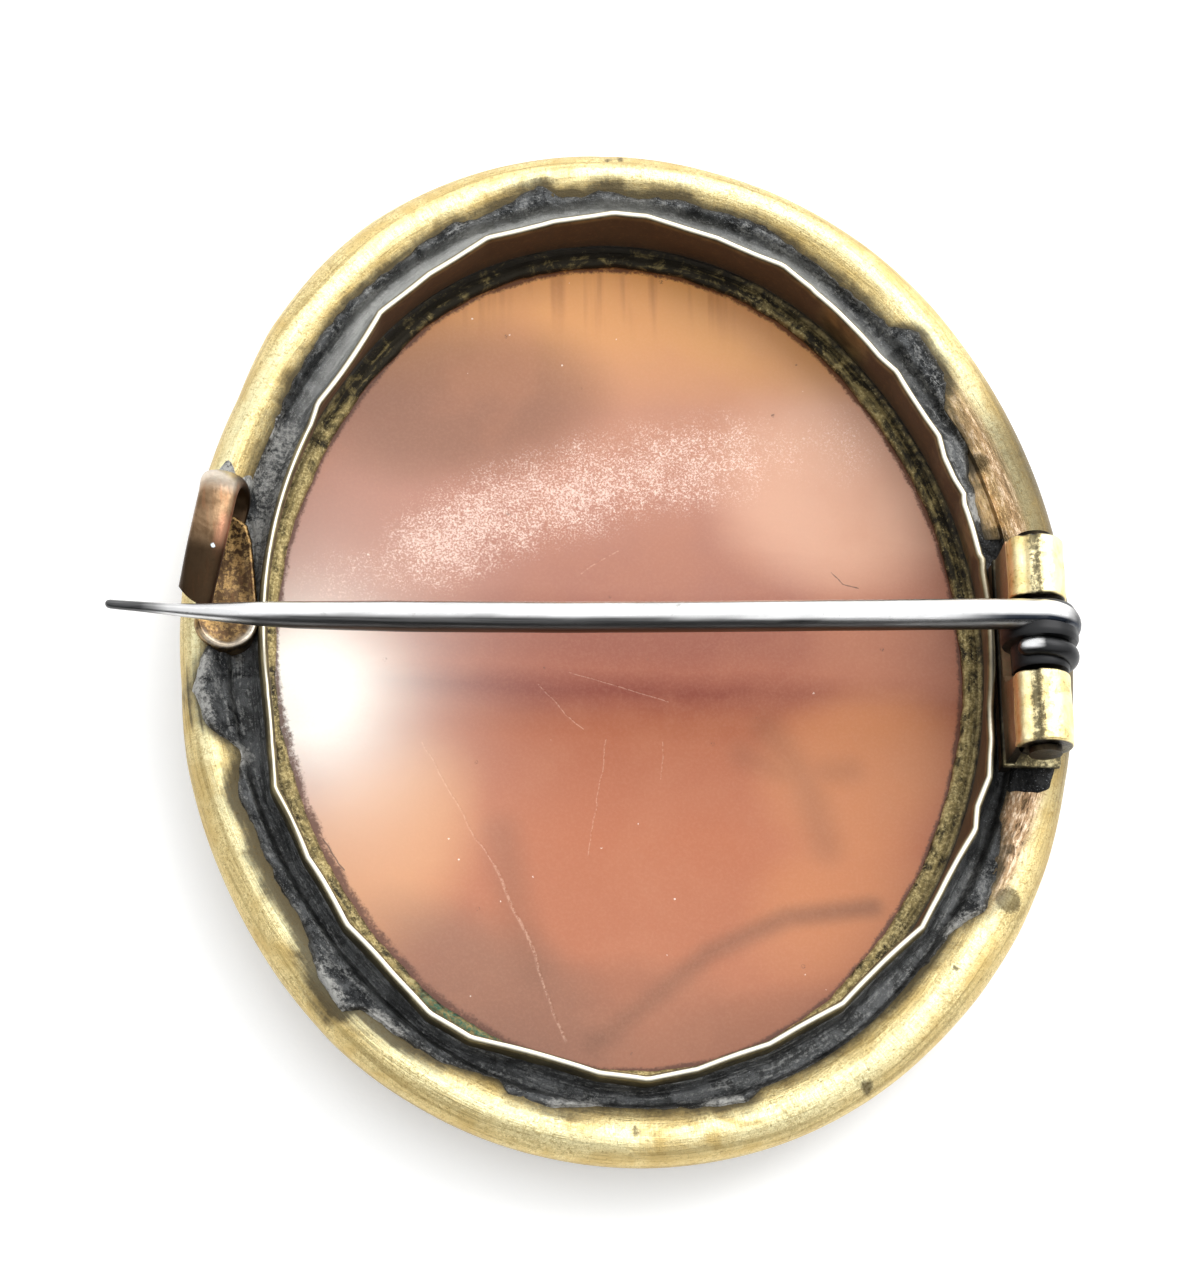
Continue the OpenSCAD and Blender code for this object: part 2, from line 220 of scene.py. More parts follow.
# %% Shader sums
class Value:
    """One socket of a finish, used in sums like a number."""

    def __init__(self, finish, socket):
        self.finish, self.socket = finish, socket

    def maths(self, operation, *values):
        return self.finish.node("ShaderNodeMath", {"operation": operation}, *values)

    def __add__(self, other):
        return self.maths("ADD", self, other)

    def __radd__(self, other):
        return self.maths("ADD", other, self)

    def __sub__(self, other):
        return self.maths("SUBTRACT", self, other)

    def __rsub__(self, other):
        return self.maths("SUBTRACT", other, self)

    def __mul__(self, other):
        return self.maths("MULTIPLY", self, other)

    def __rmul__(self, other):
        return self.maths("MULTIPLY", other, self)

    def step(self, low, high):
        """Soft step from 0 at low to 1 at high."""
        return self.finish.node("ShaderNodeMapRange", {"interpolation_type": "SMOOTHSTEP"},
                                self, low, high, 0.0, 1.0)

    def most(self, other):
        return self.maths("MAXIMUM", self, other)

    def least(self, other):
        return self.maths("MINIMUM", self, other)


class Finish:
    """A material whose nodes are made by calls and sums."""

    def __init__(self, name):
        self.material = bpy.data.materials.new(name)
        self.material.use_nodes = True
        self.tree = self.material.node_tree
        self.shader = self.tree.nodes["Principled BSDF"]

    def put(self, socket, given):
        if isinstance(given, Value):
            self.tree.links.new(given.socket, socket)
        elif isinstance(given, tuple) and len(given) == 3 and socket.type == "RGBA":
            socket.default_value = (*given, 1.0)
        else:
            socket.default_value = given

    def node(self, kind, settings, *values, out=0, **named):
        made = self.tree.nodes.new(kind)
        for key, setting in settings.items():
            if key == "stops":
                ramp = made.color_ramp
                while len(ramp.elements) < len(setting):
                    ramp.elements.new(0.5)
                for element, (at, colour) in zip(ramp.elements, setting):
                    element.position, element.color = at, (*colour, 1.0)
            else:
                setattr(made, key, setting)
        for socket, given in zip(made.inputs, values):
            self.put(socket, given)
        for key, given in named.items():
            self.put(made.inputs[key.replace("_", " ")], given)
        return Value(self, made.outputs[out])

    def place(self):
        """Object coordinates in millimetres."""
        spot = self.node("ShaderNodeTexCoord", {}, out=3)
        return self.node("ShaderNodeVectorMath", {"operation": "SCALE"}, spot, Scale=1000.0)

    def split(self, vector):
        return [self.node("ShaderNodeSeparateXYZ", {}, vector, out=i) for i in range(3)]

    def join(self, *parts):
        return self.node("ShaderNodeCombineXYZ", {}, *parts)

    def stretch(self, vector, scale):
        return self.node("ShaderNodeMapping", {}, Vector=vector, Scale=scale)

    def cloud(self, vector, scale, detail=4.0, rough=0.55, twist=0.0):
        """Cloudy noise from 0 to 1."""
        return self.node("ShaderNodeTexNoise", {}, Vector=vector, Scale=scale, Detail=detail,
                         Roughness=rough, Distortion=twist)

    def cells(self, vector, scale):
        """Distance to the nearest of many scattered points."""
        return self.node("ShaderNodeTexVoronoi", {"feature": "F1"}, Vector=vector, Scale=scale)

    def measure(self, name):
        """A number that the mesh carries at its points."""
        return self.node("ShaderNodeAttribute", {"attribute_name": name}, out=2)

    def mix(self, share, under, over):
        made = self.tree.nodes.new("ShaderNodeMix")
        made.data_type = "RGBA"
        for index, given in ((0, share), (6, under), (7, over)):
            self.put(made.inputs[index], given)
        return Value(self, made.outputs[2])

    def coats(self, tone, *rows):
        """Lays colours over a tone, one after another. A row is a coat's share and its colour."""
        for share, colour in rows:
            tone = self.mix(share, tone, colour)
        return tone

    def bump(self, height, deep, strength):
        return self.node("ShaderNodeBump", {}, Height=height, Distance=deep*MM, Strength=strength)

    def surface(self, **sockets):
        for key, given in sockets.items():
            self.put(self.shader.inputs[key.replace("_", " ")], given)
        print(f"finish {self.material.name}: {len(self.tree.nodes)} nodes")


white = Finish("paper")
spot = white.place()
white.surface(Base_Color=(0.93, 0.93, 0.925), Roughness=0.9, Emission_Color=(1, 1, 1),
              Emission_Strength=0.24, Normal=white.bump(white.cloud(spot, 1.6, 2), 0.04, 0.35))
paper_mesh.materials.append(white.material)

# %% [markdown]
# ## From rings of points to pieces
# Most of the frame is one cross-section carried round the oval. A hand model starts with the
# section as a closed line and spins it about the centre of each arc in turn, which is what
# these helpers do. The seam is under the hinge. Every point then gets its distance round the
# oval and its inset, which the finishes and the small listed dents use.

# %% Helpers for pieces
def fine(points, step):
    """The points of a line, with more put between them, so no stretch is longer than step."""
    full = []
    for a, b in zip(points, points[1:] + points[:1]):
        count = max(1, math.ceil(math.dist(a, b)/step))
        full += [tuple(a[i] + (b[i] - a[i])*n/count for i in range(2)) for n in range(count)]
    return full


def arc(x, y, r, start, end, count):
    """Points of an arc, angles in degrees."""
    turns = [math.radians(start + (end - start)*i/count) for i in range(count + 1)]
    return [(x + r*math.cos(t), y + r*math.sin(t)) for t in turns]


def closed_line(bm, places):
    """A closed line of edges through the places."""
    corners = [bm.verts.new(place) for place in places]
    edges = [bm.edges.new(pair) for pair in zip(corners, corners[1:] + corners[:1])]
    return corners + edges


def of_kind(geom, kind):
    """Only the points, the edges or the faces of what an operator made."""
    return [part for part in geom if isinstance(part, kind)]


def pull_out(bm, edges):
    """Extrudes a ring of edges: the new ring's points and its edges."""
    made = bmesh.ops.extrude_edge_only(bm, edges=edges)["geom"]
    ring = of_kind(made, BMVert)
    return ring, [e for e in of_kind(made, BMEdge) if all(v in ring for v in e.verts)]


def turned(profile, step, steps):
    """Spins a closed profile of (radius, y) points once about the Y axis."""
    bm = bmesh.new()
    geom = closed_line(bm, [(r, y, 0) for r, y in fine(profile, step)])
    bmesh.ops.spin(bm, geom=geom, cent=(0, 0, 0), axis=(0, 1, 0), angle=2*math.pi, steps=steps,
                   use_merge=True)
    bmesh.ops.recalc_face_normals(bm, faces=bm.faces)
    return bm


def spun_ring(section, step):
    """Carries a section of (inset, z) points round the oval and closes it."""
    bm = bmesh.new()
    start = -3.0/SIDE_R
    reach = Vector((math.cos(start), math.sin(start), 0))
    geom = closed_line(bm, [Vector((-SIDE_C, 0, z)) + reach*(SIDE_R - inset)
                            for inset, z in section])
    arcs = (((-SIDE_C, 0, 0), JOIN - start, SIDE_R), ((0, END_C, 0), END_ARC, END_R),
            ((SIDE_C, 0, 0), SIDE_ARC, SIDE_R), ((0, -END_C, 0), END_ARC, END_R),
            ((-SIDE_C, 0, 0), JOIN + start, SIDE_R))
    for centre, sweep, radius in arcs:
        made = bmesh.ops.spin(bm, geom=geom, cent=centre, axis=(0, 0, 1), angle=sweep,
                              steps=round(sweep*radius/step), use_duplicate=False)
        geom = made["geom_last"]
    bmesh.ops.remove_doubles(bm, verts=bm.verts, dist=0.002)
    bmesh.ops.recalc_face_normals(bm, faces=bm.faces)
    return bm


def off_stroke(x, y, a, b):
    """Distance from a point to the straight stroke from a to b."""
    way, at = Vector(b) - Vector(a), Vector((x, y)) - Vector(a)
    return (at - way*min(max(at.dot(way)/way.length_squared, 0), 1)).length


Point = namedtuple("Point", "x y z far inset")


def mark(bm, **measures):
    """Gives each point the numbers that the finishes read: plain ones, or rules of the point p.

    p has its place x, y and z, its distance round the oval and its inset."""
    layers = [(bm.verts.layers.float.new(name), rule) for name, rule in measures.items()]
    for v in bm.verts:
        p = Point(*v.co, *along_oval(v.co.x, v.co.y))
        for layer, rule in layers:
            v[layer] = rule(p) if callable(rule) else rule


def unroll(bm):
    """UV map in mm: the distance round the oval, and the way across the section."""
    layer = bm.loops.layers.uv.new("round")
    for face in bm.faces:
        middle = along_oval(*face.calc_center_median().xy)[0]
        for loop in face.loops:
            far, inset = along_oval(*loop.vert.co.xy)
            if far - middle > ROUND/2:
                far -= ROUND
            elif middle - far > ROUND/2:
                far += ROUND
            loop[layer].uv = (far, inset + loop.vert.co.z)


def piece(name, bm, finish, body="brooch", stands_for=(), sharp=40, turn_out=False):
    """Makes the object: metres, smooth faces with sharp edges, its finish and its body."""
    if turn_out:
        bmesh.ops.recalc_face_normals(bm, faces=bm.faces)
    bmesh.ops.scale(bm, vec=(MM, MM, MM), verts=bm.verts)
    for face in bm.faces:
        face.smooth = True
    mesh = bpy.data.meshes.new(name)
    bm.to_mesh(mesh)
    bm.free()
    mesh.set_sharp_from_angle(angle=math.radians(sharp))
    mesh.materials.append(finish.material)
    made = add(name, mesh)
    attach(made, body)
    if stands_for:
        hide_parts(*stands_for)
    print(f"piece {name}: {len(mesh.polygons)} faces")
    return made


# %% [markdown]
# ## Where the solder ends and how the bezel bends
# The bezel is a thin strip that was bent by hand, so seen from the back it is a many-sided line
# with a few clear kinks. The solder that holds it has run out over the rim, further in some
# places than in others. Two short tables give both, as distance round the oval from the hinge
# and inset from the outer edge, in mm.

# %% Bends of the bezel and edge of the solder
BEZEL_BENDS = [
    (3.7, 3.31), (5.0, 3.72), (6.9, 3.26), (8.3, 3.45), (9.8, 3.20), (11.6, 3.31), (13.3, 3.22),
    (18.9, 3.34), (20.7, 3.19), (24.2, 3.31), (27.7, 3.03), (29.3, 2.97), (32.2, 3.13), (35.6, 3.04),
    (39.0, 3.20), (42.1, 3.07), (47.3, 3.24), (51.2, 3.42), (56.0, 3.52), (58.8, 3.44), (61.2, 3.36),
    (63.5, 3.14), (65.4, 2.78), (66.8, 2.92), (68.7, 2.84), (69.8, 2.91), (72.0, 2.72), (74.9, 2.85),
    (77.2, 2.66), (79.3, 2.76), (85.3, 3.04), (87.5, 2.91), (89.8, 3.13), (93.4, 3.30), (97.4, 3.20),
    (102.5, 2.92), (104.1, 3.03), (107.5, 2.86), (108.5, 3.08), (110.0, 2.96), (111.6, 3.15),
    (115.9, 3.40)
]
SOLDER_EDGE = [
    (2.0, 2.55), (5.3, 2.74), (7.6, 2.52), (8.9, 2.15), (11.0, 2.06), (11.9, 1.44), (14.5, 1.25),
    (15.4, 1.83), (18.2, 1.99), (21.2, 1.82), (22.9, 1.55), (25.2, 1.80), (26.5, 1.65), (28.0, 1.85),
    (29.8, 1.58), (30.6, 1.84), (31.7, 1.65), (32.3, 1.18), (33.4, 1.48), (35.2, 1.78), (36.4, 1.57),
    (39.4, 1.83), (43.1, 1.66), (46.8, 1.83), (48.5, 2.00), (50.6, 2.25), (54.5, 2.20), (58.8, 1.30),
    (60.4, 0.72), (62.1, 1.06), (63.2, 2.10), (64.8, 1.46), (66.6, 1.55), (71.2, 1.43), (72.9, 0.85),
    (74.5, 0.64), (75.0, 1.26), (78.4, 1.50), (81.2, 2.11), (81.7, 1.57), (83.5, 1.58), (85.5, 2.11),
    (89.2, 1.95), (91.7, 1.64), (93.0, 2.23), (95.8, 2.27), (98.4, 2.16), (103.5, 1.86), (105.0, 1.24),
    (106.3, 1.35), (107.6, 1.64), (109.3, 2.15), (110.2, 2.50), (113.0, 2.60)
]


def flats(far):
    """Inset of the bezel's top edge: straight between the bends, as flats on the oval."""
    before, after, long, share = stretch_of(BEZEL_BENDS, far)
    return before + (after - before)*share + long**2/30*share*(1 - share)


def ragged(far):
    """Inset of the solder's outer edge, with its small teeth."""
    x, y = on_oval(far, 2)[0]
    teeth = 0.10*grit(x, y, 0, 0.55, 3) + 0.08*grit(x, y, 0, 0.22, 4)
    low = 2.75 if 4.8 < far < 10.0 else 2.03
    return min(between(SOLDER_EDGE, far) + teeth, low)


TENTHS = math.ceil(ROUND*10)
BEZEL_LINE = [flats(n/10) for n in range(TENTHS + 2)]
SOLDER_LINE = [ragged(n/10) for n in range(TENTHS + 2)]


def read(line, far):
    """Value of a line that was worked out at every tenth of a millimetre round the oval."""
    n, share = divmod((far % ROUND)*10, 1)
    return line[int(n)]*(1 - share) + line[int(n) + 1]*share


def filled(far, inset):
    """Height by which old solder, worn to the colour of the rim, fills the channel there."""
    return 0.40*over(far, 3.9, 5.2, 9.4, 11.0)*smooth(2.04, 2.12, inset)


def wall_inset(far, z):
    """Inset of the middle of the bezel's wall at a height: it leans out to its bent top edge."""
    bend = read(BEZEL_LINE, far) - 3.05
    return 3.05 + (min(bend, 0.34) if z > 3 else bend)*smooth(2.05, 4.6, z)


print(f"solder from {min(r[1] for r in SOLDER_EDGE)} to {max(r[1] for r in SOLDER_EDGE)} mm inset")

# %% [markdown]
# ## Rim
# The rim is a round bead that falls to a flat band. On the real brooch it was formed over a
# stake and gilt, then worn. Its finish needs four things: warm gold with a paler crest, partly
# rubbed gilding and partly a painted highlight, dark grime towards the solder, lines from
# polishing that run round the oval, and small pits. Painted shade darkens the rim's lower outer
# side, and the rim by the hinge and the catch.

# %% Finish of the gilt rim
gilt = Finish("gilt_rim")
spot = gilt.place()
lane = gilt.node("ShaderNodeUVMap", {"uv_map": "round"})
to_solder = gilt.measure("to_solder")
crest = gilt.measure("crest")
lines = gilt.cloud(gilt.stretch(lane, (0.45, 11.0, 1.0)), 1.0, 4, 0.7)
wide_lines = gilt.cloud(gilt.stretch(lane, (0.12, 2.6, 1.0)), 1.0, 4, 0.6)
blotch = gilt.cloud(spot, 0.55, 5, 0.64, 0.5)
speck = gilt.cloud(spot, 6.5, 4, 0.75)
across = gilt.cloud(gilt.stretch(lane, (8.0, 0.5, 1.0)), 1.0, 3, 0.6)
fleck = gilt.cloud(spot, 15.0, 3, 0.8)
wear = gilt.cloud(gilt.stretch(lane, (1.3, 8.0, 1.0)), 1.0, 4, 0.75)
copper = gilt.measure("copper")
rough_line = to_solder + (blotch - 0.5)*0.8 + (wide_lines - 0.5)*1.3 + (speck - 0.5)*0.5
grime = 1.0 - rough_line.step(-0.10, 0.55)
stained = (gilt.measure("stain")*1.1 + fleck*0.8 + blotch*0.7 - 1.25).step(0.0, 0.55)
gold = gilt.coats(
    (0.60, 0.44, 0.175),
    (blotch.step(0.36, 0.66), (0.86, 0.72, 0.37)),
    # the paler crest: partly rubbed gilding, partly a painted highlight, wider at the oval's bottom
    ((crest*(blotch.step(0.26, 0.52)*0.9)).least(1.0), (0.99, 0.93, 0.57)),
    ((blotch*0.4 + speck*0.6).step(0.49, 0.60)*0.42, (0.40, 0.27, 0.085)),
    ((blotch*0.4 + fleck*0.6).step(0.50, 0.58)*(0.42 - crest*0.2), (0.27, 0.175, 0.05)),
    (wide_lines.step(0.50, 0.60)*(0.45 - crest*0.25), (0.28, 0.195, 0.062)),
    (lines.step(0.54, 0.66)*(0.34 - crest*0.15), (0.18, 0.12, 0.040)),
    # painted shade on the rim's lower outer side
    (gilt.measure("low"), (0.26, 0.185, 0.060)),
    (gilt.measure("shaded")*(blotch*0.5 + 0.6).least(1.0), (0.075, 0.055, 0.027)),
    (copper*0.8, (0.46, 0.27, 0.16)),
    (copper*wear.step(0.50, 0.60)*0.8, (0.97, 0.76, 0.55)),
    (copper*(1.0 - wear).step(0.53, 0.62)*0.8, (0.075, 0.050, 0.028)),
    (grime*0.92, (0.045, 0.034, 0.016)),
    ((fleck*0.5 + speck*0.5).step(0.53, 0.62)*0.30, (0.20, 0.125, 0.035)),
    (stained*0.75, (0.045, 0.034, 0.018)))
pits = gilt.cells(spot, 2.1).step(0.02, 0.16)
height = (lines*0.5 + wide_lines*0.5 + speck*0.5 + fleck*0.2 + pits*0.25 + across*(crest*0.4 + 0.1)
          + copper*wear*1.3)
gilt.surface(Base_Color=gold, Metallic=(1.0 - grime*0.5),
             Roughness=(0.30 + speck*0.20 + grime*0.20 + (1.0 - pits)*0.15 - crest*0.06),
             Normal=gilt.bump(height, 0.075, 0.85))

# %% [markdown]
# The section below is the bead, the band, and under it the half-round moulding that runs round
# the front. It ends inside the bezel, so the two overlap and no gap shows. After the spin, each
# point of the upper side moves a little: nobody files a rim quite true.

# %% Rim
bead = arc(1.0, 3.4, 1.0, 225, 75, 20)
rim_section = bead + [
    (1.62, 4.235), (2.02, 4.03), (2.09, 3.98), (2.14, 3.56), (3.02, 3.46), (3.02, 1.2), (2.85, 0.52),
    (2.56, 0.55)] + arc(1.634, 1.434, 0.55, -45, -225, 14)
DENTS = [  # distance round, inset, size and depth
    (13.2, 0.9, 0.7, 0.10), (96.2, 0.3, 1.1, 0.12), (104.6, 1.5, 0.8, 0.11), (107.9, 1.1, 0.6, 0.10),
    (29.4, 0.25, 0.5, 0.06), (87.2, 1.0, 0.5, 0.07), (62.0, 0.6, 1.2, 0.06)
]
STAINS = [  # distance round, inset and size
    (87.0, 1.15, 0.40), (28.9, 0.35, 0.28), (29.4, 0.42, 0.20), (96.3, 0.35, 0.42), (102.1, 1.05, 0.26),
    (107.6, 1.3, 0.32), (105.6, 0.7, 0.8), (8.3, 2.0, 0.7), (5.0, 2.4, 0.9)
]
TRUE_LINE = [  # distance round, and how far the real rim stands out of the plain oval
    (3, 0.0), (9, 0.10), (15, 0.17), (20, 0.03), (25, -0.04), (30, 0.04), (36, 0.14), (39, 0.20),
    (42, 0.17), (45, 0.04), (48, -0.32), (51, -0.39), (60, -0.39), (63, -0.15), (66, -0.04),
    (72, 0.13), (75, 0.15), (79, 0.02), (84, -0.04), (90, -0.04), (96, 0.02), (99, 0.09),
    (102, 0.22), (105, 0.26), (108, 0.19), (111, 0.04), (114, 0.0)
]
bm = spun_ring(fine(rim_section, 0.16), 0.28)
for v in bm.verts:
    far, inset = along_oval(*v.co.xy)
    moved = on_oval(far, inset - between(TRUE_LINE, far)*smooth(2.1, 0.4, inset))[0]
    v.co.x, v.co.y = moved
    if v.co.z > 3.4 or inset > 2.1 and v.co.z > 3.3:
        wave = 0.030*grit(*v.co, 3.0, 1) + 0.022*grit(*v.co, 1.1, 2) + 0.008*grit(*v.co, 0.45, 5)
        dent = sum(deep*math.exp(-(((far - at)/size)**2 + ((inset - across_at)/size)**2)*2.2)
                   for at, across_at, size, deep in DENTS)
        v.co.z += (wave - 0.02)*smooth(3.4, 4.0, v.co.z) - dent + filled(far, inset)


def near_marks(p):
    spots = max(smooth(size, size*0.4, math.hypot(p.far - at, p.inset - across_at))
                for at, across_at, size in STAINS)
    burnt = smooth(1.5, 0.7, abs(p.far - 111.3))*smooth(0.5, 1.0, p.inset)
    return max(spots, burnt)*smooth(3.2, 3.9, p.z)


def copper_zone(p):
    above_hinge = smooth(1.0, 1.5, p.inset)*over(p.far, 3.4, 4.4, 10.0, 14.0)*0.6
    below_hinge = over(p.far, 104.0, 107.0, 111.0, 112.5)*smooth(0.6, 1.1, p.inset)
    return max(above_hinge, below_hinge)*smooth(3.3, 3.8, p.z)


def way_to_solder(p):
    sooty = 0.3*over(p.far, 62, 66, 76, 82)
    return read(SOLDER_LINE, p.far) - p.inset - sooty + 3*smooth(3.4, 2.8, p.z)


def shaded(p):
    at_hinge = max(smooth(14.0, 8.0, p.far), smooth(106.0, 115.0, p.far))
    at_catch = over(p.far, 44.0, 49.0, 62.0, 72.0)*0.15
    return max(at_hinge*smooth(2.0, 1.3, p.inset)*smooth(2.2, 3.8, p.z), at_catch)


mark(bm, to_solder=way_to_solder, stain=near_marks, copper=copper_zone, shaded=shaded,
     # where the crest carries its painted highlight and rubbed gilding
     crest=lambda p: smooth(0.55 + 0.4*over(p.far, 74, 84, 94, 102), 0.0, abs(p.inset - 0.95)),
     # painted shade below the middle of the bead
     low=lambda p: smooth(3.55, 2.9, p.z))
unroll(bm)
piece("rim", bm, gilt, stands_for=("frame",))

# %% [markdown]
# ## Solder
# Lead solder went on hot, ran into the corner between rim and bezel, and froze in lumps with a
# ragged edge. It has gone nearly black, with pale crusts along its edge; a grey-blue sheen next to
# the bezel and small glints on its grain are painted reflections. Its strip is spun like the rim,
# then each point is moved between the ragged edge and the bezel, and lifted by noise.

# %% Finish of the solder
lead = Finish("dark_solder")
spot = lead.place()
lane = lead.node("ShaderNodeUVMap", {"uv_map": "round"})
lump = lead.cloud(spot, 1.2, 5, 0.66, 0.6)
grain = lead.cloud(spot, 7.0, 4, 0.78)
drawn = lead.cloud(lead.stretch(lane, (0.6, 6.0, 1.0)), 1.0, 4, 0.68)
crust = lead.measure("crust")
edge = lead.measure("edge")
black = lead.measure("black")
wall = lead.measure("wall")
pale = (crust*0.45 + grain*0.9 + lump*0.5 - 0.88).step(0.04, 0.36)*crust.step(0.02, 0.30)
# painted glints on the solder's grain
sparks = lead.cloud(spot, 18.0, 2, 0.8).step(0.63, 0.72)
dull = lead.coats(
    (0.017, 0.018, 0.019),
    (lump.step(0.40, 0.62), (0.105, 0.108, 0.110)),
    ((drawn*0.5 + grain*0.5).step(0.50, 0.61)*(0.75 - black*0.6), (0.30, 0.30, 0.29)),
    # painted sheen: pale grey on the solder next to the bezel, mostly at the top
    ((wall*(drawn*0.9 + 0.4)).least(1.0), (0.40, 0.40, 0.38)),
    ((edge*(lump + 0.35)).least(1.0)*0.85, (0.034, 0.027, 0.015)),
    (black*0.85, (0.008, 0.008, 0.008)),
    (pale*0.9, (0.50, 0.49, 0.46)),
    # painted glints
    (sparks*0.5, (0.55, 0.57, 0.60)))
lead.surface(Base_Color=dull, Metallic=(0.85 - crust*0.4 - edge*0.2 - wall*0.5),
             Roughness=(0.28 + grain*0.26 + crust*0.15),
             Normal=lead.bump(lump*0.6 + grain*0.6 + drawn*0.6 + crust*grain*0.6, 0.13, 0.9))

# %% Solder round the bezel
CRUSTS = [  # distance round and half the length
    (6.5, 1.2), (60.5, 2.4), (63.3, 1.0), (73.5, 2.0), (76.0, 1.6), (84.5, 1.9), (90.8, 1.6),
    (103.9, 1.6)
]


def rim_top(inset):
    """Height of the rim under the solder: bead, band, and then the channel's floor."""
    if inset < 1:
        return 3.4 + math.sqrt(max(0.0, 1 - (1 - inset)**2))
    return 4.4 - 0.38*smooth(1.0, 2.05, inset) - 0.46*smooth(1.98, 2.34, inset)


def ground(far, inset):
    """Height of the rim under a point, where the rim's real line is counted in."""
    return rim_top(inset + between(TRUE_LINE, far)*smooth(2.1, 0.4, inset)) + filled(far, inset)


def crust_at(far, inset):
    near = max(smooth(wide, wide*0.3, abs(far - at)) for at, wide in CRUSTS)
    return near*smooth(0.95, 0.1, inset - read(SOLDER_LINE, far))


LOW, TOP = 3.3, 4.0
strip = [(0.0, LOW), (0.0, TOP), (0.04, TOP), (1.0, TOP), (1.0, LOW)]
bm = spun_ring(fine(strip, 0.05), 0.2)
for v in bm.verts:
    far, share = along_oval(*v.co.xy)
    outer, inner = read(SOLDER_LINE, far), wall_inset(far, LOW + (v.co.z - LOW)*1.8)
    inset = outer + (inner - outer)*share
    x, y = on_oval(far, inset)[0]
    if v.co.z > LOW + 0.05:
        fill = ground(far, inset) + 0.13*smooth(0.0, 0.14, inset - outer) - 0.03
        climb = 0.62*smooth(0.60, 0.12, inner - inset)**2
        lift = 0.05*grit(x, y, 0, 1.3, 6) + 0.05*grit(x, y, 0, 0.5, 7) + 0.025*grit(x, y, 0, 0.2, 8)
        lumps = max(lift, -0.06) + 0.07*crust_at(far, inset)
        full = fill + climb + lumps*smooth(0.0, 0.15, inset - outer)
        v.co.z = LOW + (full - LOW)*(v.co.z - LOW)/(TOP - LOW)
    v.co.x, v.co.y = x, y
mark(bm, crust=lambda p: max(crust_at(p.far, p.inset), 0.75*over(p.far, 46, 49, 57, 60)),
     edge=lambda p: smooth(0.30, 0.0, p.inset - read(SOLDER_LINE, p.far)),
     # where the painted sheen lies, next to the bezel and mostly at the top
     wall=lambda p: smooth(1.25, 0.55, read(BEZEL_LINE, p.far) - p.inset)*(
         0.10 + 0.90*over(p.far, 12.0, 16.0, 42.0, 50.0)),
     black=lambda p: max(smooth(105.0, 109.0, p.far), smooth(8.0, 4.0, p.far))*0.7)
unroll(bm)
piece("solder_round_bezel", bm, lead, stands_for=("frame",))

# %% [markdown]
# ## Bezel and ledge
# The bezel's strip stands up out of the solder. Its top edge was rubbed bright, its inner face
# is brown with age. Below it a narrow ledge holds the shell from behind, and at the very front a
# rolled lip carries it. One section makes the wall, shelf and lip, and a second one the ledge.

# %% Finish of the bezel
bezel_gold = Finish("bezel_brass")
spot = bezel_gold.place()
rubbed = bezel_gold.measure("rubbed")
inner_side = bezel_gold.measure("inner_side")
soot = bezel_gold.cloud(spot, 0.9, 6, 0.65, 0.4)
grain = bezel_gold.cloud(spot, 5.0, 5, 0.7)
brass = bezel_gold.coats(
    (0.12, 0.10, 0.06),
    (soot.step(0.35, 0.65), (0.24, 0.20, 0.11)),
    (inner_side*(soot*0.3 + 0.7), (0.070, 0.034, 0.015)),
    (inner_side*grain.step(0.50, 0.66)*0.4, (0.19, 0.105, 0.045)),
    (rubbed, (0.98, 0.93, 0.78)))
bezel_gold.surface(Base_Color=brass, Metallic=(1.0 - inner_side*0.6),
                   Roughness=(0.42 - rubbed*0.10 + grain*0.14 + inner_side*0.24),
                   Normal=bezel_gold.bump(soot*0.4 + grain*0.4, 0.05, 0.5))

# %% Bezel with its front lip
wall_top = arc(3.05, 4.90, 0.15, 180, 0, 8)
lip_inside, lip_outside = arc(3.4, 0.6, 0.6, -12, -60, 6), arc(3.4, 0.6, 0.6, -120, -150, 3)
wall_section = (wall_top + [(3.2, 2.1), (3.2, 1.13), (4.0, 1.13), (4.0, 0.6)] + lip_inside
                + [(3.65, 0.0), (3.15, 0.0)] + lip_outside + [(2.8, 0.5), (2.88, 1.3), (2.9, 3.0)])
bm = spun_ring(fine(wall_section, 0.20), 0.24)
for v in bm.verts:
    if v.co.z > 2.05:
        far, inset = along_oval(*v.co.xy)
        x, y = on_oval(far, inset + wall_inset(far, v.co.z) - 3.05)[0]
        v.co.x, v.co.y = x, y
        v.co.z += (0.05*grit(x, y, 0, 2.4, 9) + 0.018*grit(x, y, 0, 0.7, 10))*smooth(4.3, 4.9, v.co.z)


def worn_top(p):
    half = 0.105 - 0.055*over(p.far, 46, 50, 66, 70)
    bare = 1 - 0.75*max(smooth(4.6, 3.6, p.far), smooth(111.5, 113.5, p.far))
    return smooth(4.80, 4.90, p.z)*smooth(half, 0.02, abs(p.inset - wall_inset(p.far, 5)))*bare


def inner_face(p):
    past_middle = p.inset - read(BEZEL_LINE, p.far) + 0.35*smooth(4.6, 2.05, p.z)
    return smooth(4.92, 4.75, p.z)*smooth(2.0, 2.2, p.z)*smooth(0.02, 0.12, past_middle)


mark(bm, rubbed=worn_top, inner_side=inner_face)
unroll(bm)
piece("bezel", bm, bezel_gold, stands_for=("frame",))

# %% Finish and shape of the ledge
sooty = Finish("sooty_ledge")
spot = sooty.place()
lane = sooty.node("ShaderNodeUVMap", {"uv_map": "round"})
patch = sooty.cloud(spot, 1.6, 6, 0.68, 0.6)
ring = sooty.cloud(sooty.stretch(lane, (0.25, 6.0, 1.0)), 1.0, 5, 0.6)
grain = sooty.cloud(spot, 9.0, 4, 0.75)
deep = sooty.measure("deep")
